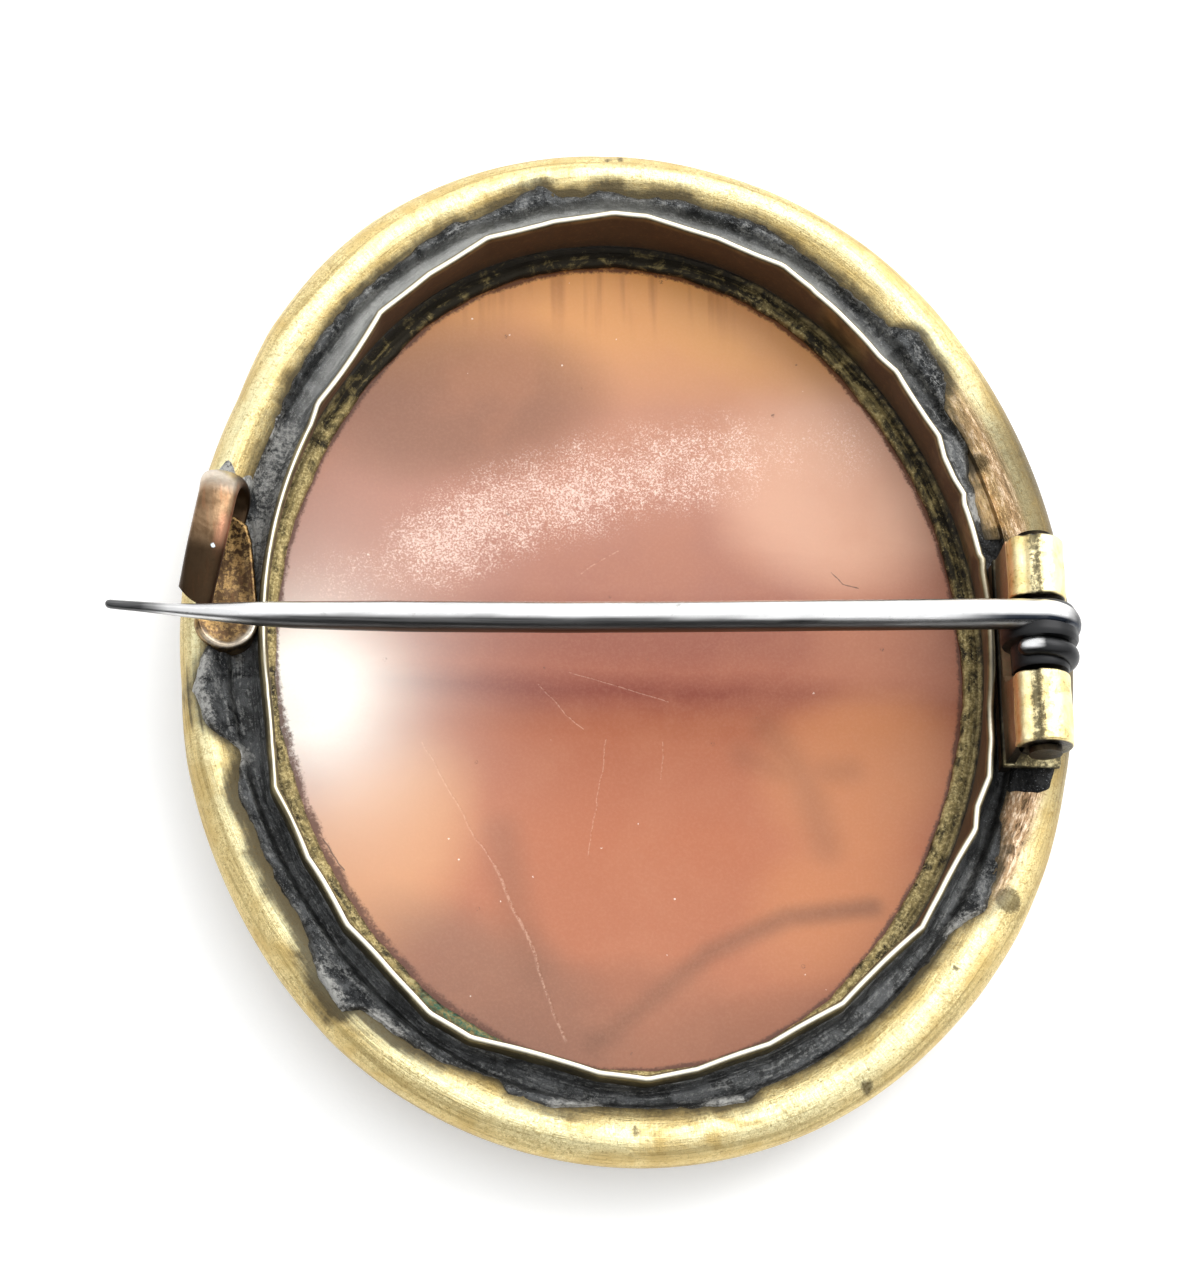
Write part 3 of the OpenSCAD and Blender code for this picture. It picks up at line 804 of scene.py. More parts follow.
# darker over the top and upper right of the ledge
sooted = sooty.measure("sooted")
tone = sooty.coats(
    (0.020, 0.016, 0.009),
    ((patch*0.6 + ring*0.4 - sooted*0.12).step(0.38, 0.56), (0.26, 0.20, 0.080)),
    ((patch*0.3 + grain*0.7 - sooted*0.12).step(0.47, 0.62)*0.8, (0.62, 0.51, 0.25)),
    (deep, (0.012, 0.009, 0.006)),
    (sooty.measure("verdigris")*grain.step(0.40, 0.62), (0.030, 0.095, 0.060)))
sooty.surface(Base_Color=tone, Metallic=(0.75 - deep*0.6), Roughness=(0.40 + grain*0.25),
              Normal=sooty.bump(patch*0.4 + grain*0.35 + ring*0.45, 0.10, 0.8))

ledge_section = [(3.0, 2.0), (3.0, 2.34), (3.3, 2.36), (3.42, 2.24), (3.5, 2.26), (3.75, 2.27),
                 (3.92, 2.22), (4.0, 2.12), (4.0, 2.02)]
bm = spun_ring(fine(ledge_section, 0.11), 0.26)
for v in bm.verts:
    far, inset = along_oval(*v.co.xy)
    swing = 0.07*grit(*v.co.xy, 0, 1.5, 11) + 0.05*grit(*v.co.xy, 0, 0.4, 12)
    x, y = on_oval(far, inset + swing*smooth(3.5, 3.95, inset))[0]
    v.co.x, v.co.y = x, y
    if v.co.z > 2.1:
        v.co.z += 0.035*grit(x, y, 0, 0.6, 13) + 0.02*grit(x, y, 0, 0.25, 14)
mark(bm, deep=lambda p: max(smooth(3.42, 3.18, p.inset), smooth(0.06, 0.0, abs(p.inset - 3.46))),
     # darker over the top and upper right of the ledge
     sooted=lambda p: max(over(p.far, 20.0, 24.0, 40.0, 50.0), 0.45*over(p.far, 0.0, 6.0, 20.0, 30.0)),
     verdigris=lambda p: over(p.far, 74.0, 77.0, 81.0, 84.0))
unroll(bm)
piece("ledge_behind_shell", bm, sooty, stands_for=("frame",))

# %% [markdown]
# ## Hinge
# The hinge is a strip of brass bent up from the rim and rolled round the rivet, so each barrel
# is a tube whose seam still shows on top as a dirty groove. The barrel's wall is a small
# rectangle spun once about the hinge axis, and the groove is pressed into it point by point.
# The riser under it is a bent sheet, and its notch leaves room for the pin's eye.

# %% Finish of the hinge
hinge_brass = Finish("hinge_brass")
spot = hinge_brass.place()
stain = hinge_brass.cloud(spot, 1.1, 5, 0.65, 0.5)
grain = hinge_brass.cloud(spot, 6.5, 5, 0.72)
drawn = hinge_brass.cloud(hinge_brass.stretch(spot, (3.0, 0.4, 3.0)), 1.0, 4, 0.6)
pit = hinge_brass.cells(hinge_brass.stretch(spot, (1.9, 1.1, 1.9)), 1.0).step(0.05, 0.30)
seam = hinge_brass.measure("seam")
side = hinge_brass.measure("side")
# dark in the seam's groove, and also over the barrels' lower halves, the riser's foot and the foot
# plate
dark_seam_and_low_parts = (seam*0.95 + (grain - 0.5)*2.6 + (stain - 0.5)*1.4).step(0.38, 1.0)
tone = hinge_brass.coats(
    (0.95, 0.84, 0.50),
    (stain.step(0.35, 0.65), (0.78, 0.61, 0.27)),
    ((grain*0.6 + stain*0.4).step(0.54, 0.64)*0.65, (0.40, 0.27, 0.07)),
    (dark_seam_and_low_parts*0.9, (0.105, 0.088, 0.045)),
    (side*(drawn*0.3 + 0.7), (0.22, 0.105, 0.055)),
    (side*grain.step(0.48, 0.62)*0.6, (0.42, 0.22, 0.13)),
    (hinge_brass.measure("end")*(0.75 + stain*0.5).least(1.0), (0.022, 0.018, 0.012)))
hinge_brass.surface(Base_Color=tone, Metallic=(1.0 - seam*0.4 - side*0.2),
                    Roughness=(0.26 + grain*0.18 + side*0.12 + seam*0.2),
                    Normal=hinge_brass.bump(stain*0.5 + grain*0.5 + drawn*0.2 + pit*0.3, 0.07, 0.7))

# %% Barrels
BARREL_R, BORE_R = 1.08, 0.44


def barrel(name, low, high, seam_at):
    """Rolled tube between two places along Y, measured from the hinge's middle."""
    wall = arc(BORE_R + 0.06, low + 0.06, 0.06, 180, 270, 2)
    wall += arc(BARREL_R - 0.10, low + 0.10, 0.10, 270, 360, 4) + [(BARREL_R, (low + high)/2)]
    wall += arc(BARREL_R - 0.10, high - 0.10, 0.10, 0, 90, 4)
    wall += arc(BORE_R + 0.06, high - 0.06, 0.06, 90, 180, 2)
    bm = turned(wall, 0.12, 120)
    for v in bm.verts:
        turn = math.degrees(math.atan2(v.co.z, v.co.x))
        r = math.hypot(v.co.x, v.co.z)
        away = abs(turn - seam_at - 3*grit(0, v.co.y, 0, 0.7, 23))
        groove = 0.10*smooth(8, 2, away)*(0.7 + 0.5*grit(0, v.co.y, 0, 0.4, 24))
        lift = 0.035*grit(*v.co, 1.4, 20) + 0.012*grit(*v.co, 0.4, 21)
        flare = 0.06*smooth(0.35, 0.0, abs(v.co.y - low))*smooth(20, 90, turn)
        square = 0.07*(smooth(26, 2, abs(turn - 148)) - smooth(16, 0, abs(turn - 124)))
        grow = 1 + (lift + flare + square - groove)/BARREL_R*smooth(0.7, 1.0, r)
        v.co.x, v.co.z = v.co.x*grow, v.co.z*grow

    def off_seam(p):
        return abs(math.degrees(math.atan2(p.z, p.x)) - seam_at)

    def at_end(p):
        near = smooth(0.10, 0.03, min(abs(p.y - low), abs(p.y - high)))
        return near*smooth(BARREL_R - 0.01, BARREL_R - 0.08, math.hypot(p.x, p.z))

    # darkened along the seam and over the lower half of the barrel
    mark(bm, seam=lambda p: max(smooth(24, 3, off_seam(p)), 0.5*smooth(-0.1, -0.5, p.z)), end=at_end,
         side=0.0)
    bmesh.ops.translate(bm, vec=HINGE, verts=bm.verts)
    return piece(name, bm, hinge_brass, stands_for=("frame",), sharp=50)


barrel("hinge_barrel_north", 1.47, 3.84, 101)
barrel("hinge_barrel_south", -4.25, -1.47, 112)

# %% Riser under the barrels
bm = bmesh.new()
notch = [(-4.25, -2.95), (-4.25, 0.05), (-1.47, 0.05), (-1.44, -0.55), (-1.30, -1.15), (-0.9, -1.62),
         (0.0, -1.78), (0.9, -1.72), (1.30, -1.3), (1.45, -0.6), (1.47, 0.05), (3.84, 0.05),
         (3.84, -2.95)]
geom = closed_line(bm, [(-BARREL_R - 0.01, y, z) for y, z in fine(notch, 0.3)])
sheet = bmesh.ops.contextual_create(bm, geom=geom)["faces"]
bmesh.ops.triangulate(bm, faces=sheet)
bmesh.ops.subdivide_edges(bm, edges=bm.edges, cuts=1, use_grid_fill=True)
made = bmesh.ops.extrude_face_region(bm, geom=bm.faces[:])
bmesh.ops.translate(bm, vec=(0.34, 0, 0), verts=of_kind(made["geom"], BMVert))
for v in bm.verts:
    v.co.x += 0.05*grit(*v.co, 1.6, 22) - 0.10*smooth(-1.6, -2.9, v.co.z) - 0.015
# the riser darkens towards its foot
mark(bm, side=1.0, seam=lambda p: smooth(-1.8, -2.7, p.z)*0.8,
     end=lambda p: smooth(-4.10, -4.22, p.y))
bmesh.ops.translate(bm, vec=HINGE, verts=bm.verts)
piece("hinge_riser", bm, hinge_brass, stands_for=("frame",), sharp=35,
      turn_out=True)

# %% Foot plate under the hinge
bm = bmesh.new()
bmesh.ops.create_cube(bm, size=1.0)
bmesh.ops.scale(bm, vec=(2.2, 8.2, 0.36), verts=bm.verts)
bmesh.ops.bevel(bm, geom=bm.edges[:], offset=0.06, segments=2, profile=0.5, affect="EDGES")
long_edges = [e for e in bm.edges if e.calc_length() > 1]
bmesh.ops.subdivide_edges(bm, edges=long_edges, cuts=12, use_grid_fill=True)
for v in bm.verts:
    v.co.z += 0.025*grit(*v.co, 0.9, 25)
    v.co.y += 0.05*grit(v.co.x, 0, 0, 0.7, 26)*smooth(-3.9, -4.1, v.co.y)
# the foot plate is dark all over
mark(bm, seam=0.9, side=0.0,
     end=lambda p: 1.0 - 0.75*smooth(0.08, 0.13, p.z)*smooth(-3.96, -4.04, p.y))
bmesh.ops.translate(bm, vec=(14.98, -0.80, 4.47), verts=bm.verts)
piece("hinge_foot", bm, hinge_brass, stands_for=("frame",), sharp=50)

# %% [markdown]
# ## Lumps of solder
# The hinge and the catch sit on flat puddles of the same solder. A puddle is a grid whose
# points rise to a rounded mound with noise on it, and whose border goes down into the rim.

# %% Solder puddles
def puddle(name, at, half, turn, rise, ripple, seed, crusts=(), free=None, dark=0.0):
    """Lumpy mound on the rim: place, half sizes, turn, height, crusts, and a stroke kept free."""
    bm = bmesh.new()
    bmesh.ops.create_grid(bm, x_segments=44, y_segments=round(44*half[1]/half[0]), size=1.0)
    skirt = [e for e in bm.edges if e.is_boundary]
    made = bmesh.ops.extrude_edge_only(bm, edges=skirt)
    low = set(of_kind(made["geom"], BMVert))
    bmesh.ops.contextual_create(bm, geom=[e for e in bm.edges if e.is_boundary])
    spin = Matrix.Rotation(math.radians(turn), 2)
    for v in bm.verts:
        square = Vector((v.co.x, v.co.y))
        disc = square*(max(abs(square.x), abs(square.y))/max(square.length, 1e-6))
        soft = square.lerp(disc, 0.75)
        teeth = 1 + 0.12*grit(soft.x*3, soft.y*3, 0, 1.0, seed)
        place = spin @ Vector((soft.x*half[0], soft.y*half[1]))*teeth + Vector(at)
        far, inset = along_oval(*place)
        if inset < 0.45:
            inset = 0.45 + (inset - 0.45)*0.06
        inset = min(inset, wall_inset(far, 4.0))
        x, y = on_oval(far, inset)[0]
        if v in low:
            v.co = (x, y, LOW)
            continue
        wave = ripple*(grit(x, y, 0, 0.9, seed + 1) + 0.6*grit(x, y, 0, 0.35, seed + 2))
        inward = smooth(1.0, 0.62, soft.length)*smooth(0.44, 0.75, inset)
        if free:
            inward *= smooth(0.85, 1.25, off_stroke(x, y, *free))
        v.co = (x, y, max(LOW + 0.05, ground(far, inset) - 0.08 + (rise + wave)*inward))

    def crusted(p):
        return max([share*smooth(wide, wide*0.2, math.dist((p.x, p.y), middle))
                    for middle, wide, share in crusts] + [0.0])

    mark(bm, crust=crusted, edge=0.0, wall=0.0, black=dark)
    layer = bm.loops.layers.uv.new("round")
    for face in bm.faces:
        for loop in face.loops:
            loop[layer].uv = (loop.vert.co.y, loop.vert.co.x)
    return piece(name, bm, lead, stands_for=("frame",), sharp=60, turn_out=True)


puddle("solder_under_hinge", (14.6, -1.0), (1.3, 5.0), 1, 0.22, 0.10, 30, dark=0.6)
puddle("solder_below_hinge", (14.75, -5.05), (1.9, 0.95), -4, 0.17, 0.05, 33, dark=1.0)

# %% [markdown]
# ## Catch
# The catch is one strip with a domed outer face. Its foot is a small spoon that lies in the
# solder, its raised edge worn bright; from there the strip bends up, over the pin and down to
# a tip that was cut at a slant. The domed section is spun twice: half a turn for the bend and a
# short turn on a long radius for the arm.

# %% Finish of the catch
catch_bronze = Finish("catch_bronze")
spot = catch_bronze.place()
mottle = catch_bronze.cloud(spot, 1.2, 5, 0.62, 0.4)
grain = catch_bronze.cloud(spot, 6.0, 5, 0.7)
drawn = catch_bronze.cloud(catch_bronze.stretch(spot, (5.0, 0.7, 2.0)), 1.0, 4, 0.6)
bright = catch_bronze.measure("bright")
dim = catch_bronze.measure("dim")
mottled = catch_bronze.measure("mottled")
x, y, z = catch_bronze.split(spot)
away = catch_bronze.node("ShaderNodeVectorMath", {"operation": "LENGTH"},
                         catch_bronze.join(x + 15.57, y - 2.30, (z - 7.3)*0.3), out=1)
glint = 1.0 - (away + (grain - 0.5)*0.14).step(0.03, 0.11)
tone = catch_bronze.coats(
    (0.15, 0.090, 0.048),
    (mottle.step(0.38, 0.64), (0.29, 0.185, 0.105)),
    (drawn.step(0.50, 0.68)*0.5, (0.27, 0.125, 0.062)),
    # painted reflection of the shell's orange on the inner side of the hook's arm
    (catch_bronze.measure("warm")*(0.2 + drawn*0.6), (0.50, 0.24, 0.15)),
    # on the hook, painted dark reflection over the south part of the arm and painted shade low down; on
    # the foot, its darker tone
    (dim*(mottle*0.3 + 0.80).least(1.0), (0.022, 0.013, 0.007)),
    (mottled*(mottle*0.5 + grain*0.5).step(0.47, 0.57)*0.75, (0.38, 0.24, 0.095)),
    (mottled*(grain*0.6 + drawn*0.4).step(0.54, 0.62)*0.6, (0.030, 0.022, 0.012)),
    # on the hook a painted highlight over the top of the bend; on the foot its worn raised edge
    ((bright*(grain + 0.35)).least(1.0), (0.74, 0.67, 0.56)),
    (glint*0.85, (0.78, 0.90, 0.96)))
catch_bronze.surface(Base_Color=tone, Metallic=1.0, Roughness=(0.24 + grain*0.16 + dim*0.08),
                     Normal=catch_bronze.bump(mottle*0.45 + grain*0.3 + drawn*0.3, 0.06, 0.55))

# %% Hook of the catch
CATCH = Vector((-15.45, 4.05, 0))
BEND_R, BEND_Z = 1.45, 5.775
ARM_R, ARM_TURN = 10.51, 2*math.atan(0.6/3.5)
domed = [(-0.62, -0.22), (0.62, -0.22), (0.69, -0.15), (0.70, -0.04), (0.64, 0.08), (0.50, 0.18),
         (0.26, 0.255), (0.0, 0.275), (-0.26, 0.255), (-0.50, 0.18), (-0.64, 0.08), (-0.70, -0.04),
         (-0.69, -0.15)]
bm = bmesh.new()
geom = closed_line(bm, [(w, 0, BEND_Z - BEND_R - t) for w, t in fine(domed, 0.12)])
geom += bmesh.ops.contextual_create(bm, geom=geom)["faces"]
bend = bmesh.ops.spin(bm, geom=geom, cent=(0, 0, BEND_Z), axis=(1, 0, 0), angle=math.pi, steps=36)
bmesh.ops.spin(bm, geom=bend["geom_last"], cent=(0, 0, BEND_Z + BEND_R - ARM_R), axis=(1, 0, 0),
               angle=ARM_TURN, steps=26)
bmesh.ops.recalc_face_normals(bm, faces=bm.faces)
for v in bm.verts:
    reach = max(0.0, -v.co.y)
    v.co.x *= 1.0 - 0.05*smooth(1.5, 3.6, reach) + 0.08*smooth(0.2, 1.2, v.co.y)
    v.co.y += (0.26*((v.co.x - 0.35)/0.72)**2 - 0.33)*smooth(2.4, 3.5, reach)
    v.co.x += 0.45*smooth(7.0, 4.6, v.co.z)*smooth(-0.3, 0.2, v.co.y)
    v.co.z += 0.03*grit(*v.co, 1.2, 40)
# painted highlight on the top of the bend
mark(bm, bright=lambda p: smooth(0.2, 1.2, p.y)*smooth(6.2, 7.0, p.z)*0.7,
     # painted reflection of the shell's orange on the arm's inner side
     warm=lambda p: smooth(0.10, 0.40, p.x)*smooth(0.2, 0.8, -p.y)*smooth(2.2, 1.5, -p.y),
     # painted dark reflection on the south part of the arm and painted shade on the low legs
     dim=lambda p: min(1.0, smooth(-0.9, -2.0, p.y)*0.95 + 0.8*smooth(6.6, 5.6, p.z)),
     mottled=0.0)
aslant = Matrix.Rotation(math.radians(-12), 3, "Z")
bmesh.ops.rotate(bm, cent=(0, 0, 0), matrix=aslant, verts=bm.verts)
bmesh.ops.translate(bm, vec=CATCH, verts=bm.verts)
piece("catch_hook", bm, catch_bronze, stands_for=("frame",), sharp=50)

# %% Foot of the catch
FOOT_HALF, FOOT_LONG, FOOT_MID = 1.2, 2.62, -2.18
bm = bmesh.new()
outline = arc(0, -3.6, 1.2, 180, 360, 30) + [
    (1.2, -0.6), (1.1, 0.0), (0.7, 0.42), (-0.1, 0.42), (-0.5, 0.0), (-0.7, -1.2), (-0.9, -2.4)]
geom = closed_line(bm, [(x, y, 0) for x, y in fine(outline, 0.2)])
cap = bmesh.ops.contextual_create(bm, geom=geom)["faces"]
before, bottom = 0.0, True
STEPS_UP = [(0.0, 1.28), (0.05, 1.36), (0.13, 1.40), (0.20, 1.37), (0.30, 1.29), (0.48, 1.24),
            (0.72, 1.22), (0.98, 1.22)]
for inner, level in STEPS_UP:
    made = bmesh.ops.extrude_face_region(bm, geom=cap)["geom"]
    if not bottom:
        bmesh.ops.delete(bm, geom=cap, context="FACES_ONLY")
    cap, bottom = of_kind(made, BMFace), False
    for v in cap[0].verts:
        v.co.x *= (FOOT_HALF - inner)/(FOOT_HALF - before)
        v.co.y = FOOT_MID + (v.co.y - FOOT_MID)*(FOOT_LONG - inner)/(FOOT_LONG - before)
        v.co.z = level
    before = inner
bmesh.ops.triangulate(bm, faces=cap)
for v in bm.verts:
    lumps = 0.04*grit(*v.co, 1.0, 41) + 0.03*grit(*v.co, 0.4, 42)
    v.co.z += 3.30 + lumps*smooth(0.3, 0.9, v.co.z)


def rubbed_edge(p):
    worn_spot = smooth(0.75, 0.3, math.dist((p.x, p.y), (0.85, -4.25)))
    return smooth(4.58, 4.66, p.z)*max(smooth(-3.8, -4.5, p.y)*0.6, worn_spot)


mark(bm, bright=rubbed_edge, warm=0.0, mottled=lambda p: smooth(4.45, 4.52, p.z),
     dim=lambda p: 0.65 + 0.35*smooth(-2.2, -0.4, p.y) + 0.4*smooth(4.50, 4.40, p.z))
aslant = Matrix.Rotation(math.radians(5), 3, "Z")
bmesh.ops.rotate(bm, cent=(0, 0, 0), matrix=aslant, verts=bm.verts)
bmesh.ops.translate(bm, vec=CATCH + Vector((0.2, 0, 0)), verts=bm.verts)
piece("catch_foot", bm, catch_bronze, stands_for=("frame",), sharp=60, turn_out=True)
puddle("solder_round_catch", (-14.5, 2.1), (1.85, 5.1), 4, 0.32, 0.12, 36,
       free=((-14.94, 0.46), (-14.95, 4.05)),
       crusts=[((-14.5, 6.3), 1.8, 1.0), ((-13.5, 3.8), 2.2, 0.9), ((-15.8, -2.6), 1.5, 0.9),
               ((-13.4, 0.8), 1.8, 0.7)])

# %% [markdown]
# ## Pin
# The pin is one steel wire. It leaves the eye nearly straight, is turned sideways a little near
# its end, and thins in steps to a rounded point. At the hinge it goes round the rivet, and its
# flattened end lies beside the first turn. A circle is drawn out station by station for the
# wire, and spun about the hinge for the turns of the eye.

# %% Finish of the pin
steel = Finish("pin_steel")
spot = steel.place()
lengthwise = steel.cloud(steel.stretch(spot, (0.10, 6.0, 6.0)), 1.0, 5, 0.65)
fleck = steel.cloud(spot, 3.2, 6, 0.7)
haze = steel.cloud(steel.stretch(spot, (0.35, 1.0, 1.0)), 1.0, 5, 0.6)
shade = steel.measure("shade")
tone = steel.coats(
    (0.70, 0.69, 0.68),
    (haze.step(0.35, 0.68), (0.86, 0.855, 0.85)),
    (fleck.step(0.62, 0.72)*0.5, (0.30, 0.27, 0.24)),
    ((shade*(lengthwise*0.5 + 0.75)).least(1.0), (0.032, 0.032, 0.033)),
    # painted reflection: a dark navy stripe along the wire near the eye
    (steel.measure("navy")*(lengthwise*0.6 + 0.7).least(1.0), (0.018, 0.024, 0.036)))
steel.surface(Base_Color=tone, Metallic=1.0,
              Roughness=(0.17 + lengthwise*0.12 + fleck*0.06 + shade*0.12),
              Normal=steel.bump(lengthwise*0.7 + fleck*0.25, 0.022, 0.5))

# %% Wire of the pin
TURN_Y, TAIL_R = 0.06, 0.36
STATIONS = [  # x, y, z of the centreline, then the wire's radius
    (14.2, 0.05, 7.58, 0.575), (12.0, 0.02, 7.54, 0.58), (9.0, -0.05, 7.49, 0.58),
    (6.0, -0.11, 7.44, 0.58), (3.0, -0.17, 7.39, 0.58), (0.0, -0.22, 7.34, 0.58),
    (-3.0, -0.26, 7.29, 0.58), (-6.0, -0.28, 7.24, 0.58), (-8.9, -0.28, 7.19, 0.575),
    (-10.8, -0.285, 7.17, 0.54), (-12.6, -0.28, 7.16, 0.50), (-14.0, -0.26, 7.155, 0.44),
    (-15.2, -0.23, 7.15, 0.355), (-16.2, -0.19, 7.145, 0.275), (-17.2, -0.13, 7.14, 0.215),
    (-18.2, -0.05, 7.135, 0.185), (-19.0, 0.01, 7.13, 0.172), (-19.28, 0.035, 7.13, 0.168),
    (-19.38, 0.045, 7.13, 0.145), (-19.44, 0.05, 7.13, 0.095), (-19.465, 0.05, 7.13, 0.03)
]
bm = bmesh.new()
top = Vector((HINGE.x, TURN_Y, 7.58))
made = bmesh.ops.create_circle(bm, cap_ends=False, segments=28, radius=1.0)
ring = made["verts"]
for v in ring:
    v.co = top + Vector((0, v.co.x, v.co.y))*0.57
hub_start = list({e for v in ring for e in v.link_edges})
edges = hub_start
for a, b in zip([(*top, 0.57)] + STATIONS, STATIONS):
    parts = max(1, round(abs(b[0] - a[0])/0.5))
    for n in range(1, parts + 1):
        x, y, z, r = (a[i] + (b[i] - a[i])*n/parts for i in range(4))
        ring, edges = pull_out(bm, edges)
        middle = sum((v.co for v in ring), Vector())/len(ring)
        for v in ring:
            spoke = (v.co - middle).normalized()
            v.co = Vector((x, y, z)) + spoke*r
bmesh.ops.contextual_create(bm, geom=edges)
axle = (HINGE.x, 0, HINGE.z)
turn = bmesh.ops.spin(bm, geom=hub_start, cent=axle, axis=(0, 1, 0), angle=math.radians(200),
                      steps=40, dvec=(0, -0.008, 0))
bmesh.ops.contextual_create(bm, geom=of_kind(turn["geom_last"], BMEdge))
bmesh.ops.recalc_face_normals(bm, faces=bm.faces)
for v in bm.verts:
    v.co.z += 0.012*grit(*v.co, 2.2, 50)
    if v.co.x < 13.6:
        v.co.y += 0.015*grit(v.co.x, 0, 0, 2.6, 51)


def dark_places(p):
    point = max(smooth(-16.5, -18.2, p.x)*0.9, 0.25*smooth(-13.0, -15.5, p.x))
    wavy = p.y + 0.05*grit(p.x, 0, 0, 1.4, 56)
    lower_side = 0.9*smooth(-0.36, -0.50, wavy)*smooth(-16.0, -14.0, p.x)
    return max(point, lower_side, smooth(15.8, 16.5, p.x))


mark(bm, shade=dark_places,
     # painted reflection: a dark navy stripe along the wire near the eye
     navy=lambda p: smooth(10.8, 13.8, p.x)*smooth(0.15, 0.07, abs(p.y + 0.27)))
piece("pin_wire", bm, steel, body="pin", stands_for=("pin_stem",), sharp=60)

# %% Hub and flattened end
profile = [(0.44, -1.30), (1.02, -1.30), (1.08, -1.22), (1.10, -0.36), (1.40, -0.24), (1.46, -0.12),
           (1.46, 0.9), (1.32, 1.14), (1.1, 1.26), (0.44, 1.26)]
bm = turned(profile, 0.14, 72)
for v in bm.verts:
    grow = 1 + 0.010*grit(*v.co, 0.5, 52)
    v.co.x, v.co.z = v.co.x*grow, v.co.z*grow
mark(bm, shade=1.4, navy=0.0)
bmesh.ops.translate(bm, vec=HINGE, verts=bm.verts)
piece("pin_hub", bm, steel, body="pin", stands_for=("pin_stem",))

bm = bmesh.new()
made = bmesh.ops.create_circle(bm, cap_ends=False, segments=24, radius=TAIL_R)
start = math.radians(80)
out = Vector((math.cos(start), 0, -math.sin(start)))
for v in made["verts"]:
    v.co = out*(1.10 + v.co.x) + Vector((0, v.co.y, 0))
ring = list({e for v in made["verts"] for e in v.link_edges})
bmesh.ops.contextual_create(bm, geom=ring)
turn = bmesh.ops.spin(bm, geom=ring, cent=(0, 0, 0), axis=(0, 1, 0), angle=math.radians(-208),
                      steps=48, dvec=(0, 0.0055, 0))
last = of_kind(turn["geom_last"], BMEdge)
before = 1.0
for thick in (0.94, 0.80, 0.55, 0.25):
    tip, last = pull_out(bm, last)
    middle = sum((v.co for v in tip), Vector())/len(tip)
    ahead = Vector((0, 1, 0)).cross(middle).normalized()*-0.09
    for v in tip:
        v.co = middle + (v.co - middle)*(thick/before) + ahead
    before = thick
bmesh.ops.contextual_create(bm, geom=last)
bmesh.ops.recalc_face_normals(bm, faces=bm.faces)
for v in bm.verts:
    v.co += 0.02*Vector((grit(*v.co, 0.8, 53), grit(*v.co, 0.7, 54), grit(*v.co, 0.6, 55)))


def unlit(p):
    return 1.2 - 1.1*smooth(0.9, 1.3, p.z)*smooth(0.1, -0.5, p.x)*smooth(0.0, 0.15, p.y)


mark(bm, shade=unlit, navy=0.0)
bmesh.ops.translate(bm, vec=(HINGE.x, -1.45, HINGE.z), verts=bm.verts)
piece("pin_end", bm, steel, body="pin", stands_for=("pin_stem",))

# %% [markdown]
# ## Rivet
# The rivet is a short brass rod with two small heads. Its solid is already right, so only its
# finish is new: brass that has gone nearly black with grime.

# %% Finish of the rivet
rivet_finish = Finish("rivet_brass")
spot = rivet_finish.place()
grain = rivet_finish.cloud(spot, 5.0, 6, 0.7)
dirt = rivet_finish.cloud(spot, 1.8, 5, 0.6)
tone = rivet_finish.mix(dirt.step(0.35, 0.65), (0.050, 0.036, 0.020), (0.016, 0.013, 0.009))
rivet_finish.surface(Base_Color=tone, Metallic=1.0, Roughness=(0.34 + grain*0.25),
                     Normal=rivet_finish.bump(grain, 0.03, 0.5))
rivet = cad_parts["hinge_rivet"]
rivet.data.materials.clear()
rivet.data.materials.append(rivet_finish.material)

# %% [markdown]
# ## Shell
# A cameo is cut from a shell of two layers: the pale layer stays as the relief and the darker
# one as the ground, and the back is ground out hollow and polished. Seen from behind, the layers
# shine through as soft bands of amber, pink and red-brown. Painted on the back as well are a
# shadow of the pin, soft shadows in the lower half, a bright highlight on the left and a band of
# sheen with fine glints. One line from the middle out to the edge and back is spun once round;
# each point then goes to its place on the oval, the back takes the hollow, and the front a spray
# of flowers, which the photograph doesn't show.

# %% Shape of the carved front
SHELL_FRONT, SHELL_BACK, HOLLOW, SWELL = 1.19, 1.94, 0.45, 0.55
FACE_W, FACE_L = 13.0, 16.0
LEAVES = [  # stalk end x, y, turn in degrees, length, width
    (3.6, 5.4, 40, 5.6, 2.5), (-3.4, 5.6, 140, 5.2, 2.4), (0.4, -3.2, -62, 5.8, 2.5),
    (-0.8, -5.6, 214, 5.4, 2.3), (4.6, 0.2, -14, 5.0, 2.3), (-4.7, 0.6, 196, 4.9, 2.2)
]
PETAL_RINGS = [  # radius of the ring, petals, first turn, how high it stands
    (4.5, 6, 10, 0.24), (3.15, 5, 40, 0.34), (1.9, 4, 5, 0.44), (0.95, 3, 30, 0.50)
]


def leaf_height(x, y):
    """Height of the leaves' relief at a point of the face."""
    best = 0.0
    for lx, ly, turn, length, width in LEAVES:
        t = math.radians(turn)
        dx, dy = x - lx, y - ly
        a, b = dx*math.cos(t) + dy*math.sin(t), -dx*math.sin(t) + dy*math.cos(t)
        share = a/length
        if not 0 < share < 1:
            continue
        half = width*0.5*math.sin(math.pi*share**0.85)*(1 + 0.05*math.sin(a*9))
        inside = half - abs(b)
        if inside > 0:
            ribs = 0.035*math.sin((a - abs(b)*0.9)*8.5)*smooth(0, 0.3, inside)
            vein = 0.07*smooth(0.16, 0.0, abs(b)) + ribs
            best = max(best, 0.30*smooth(0, 0.34, inside) - vein*smooth(0, 0.25, inside))
    return best


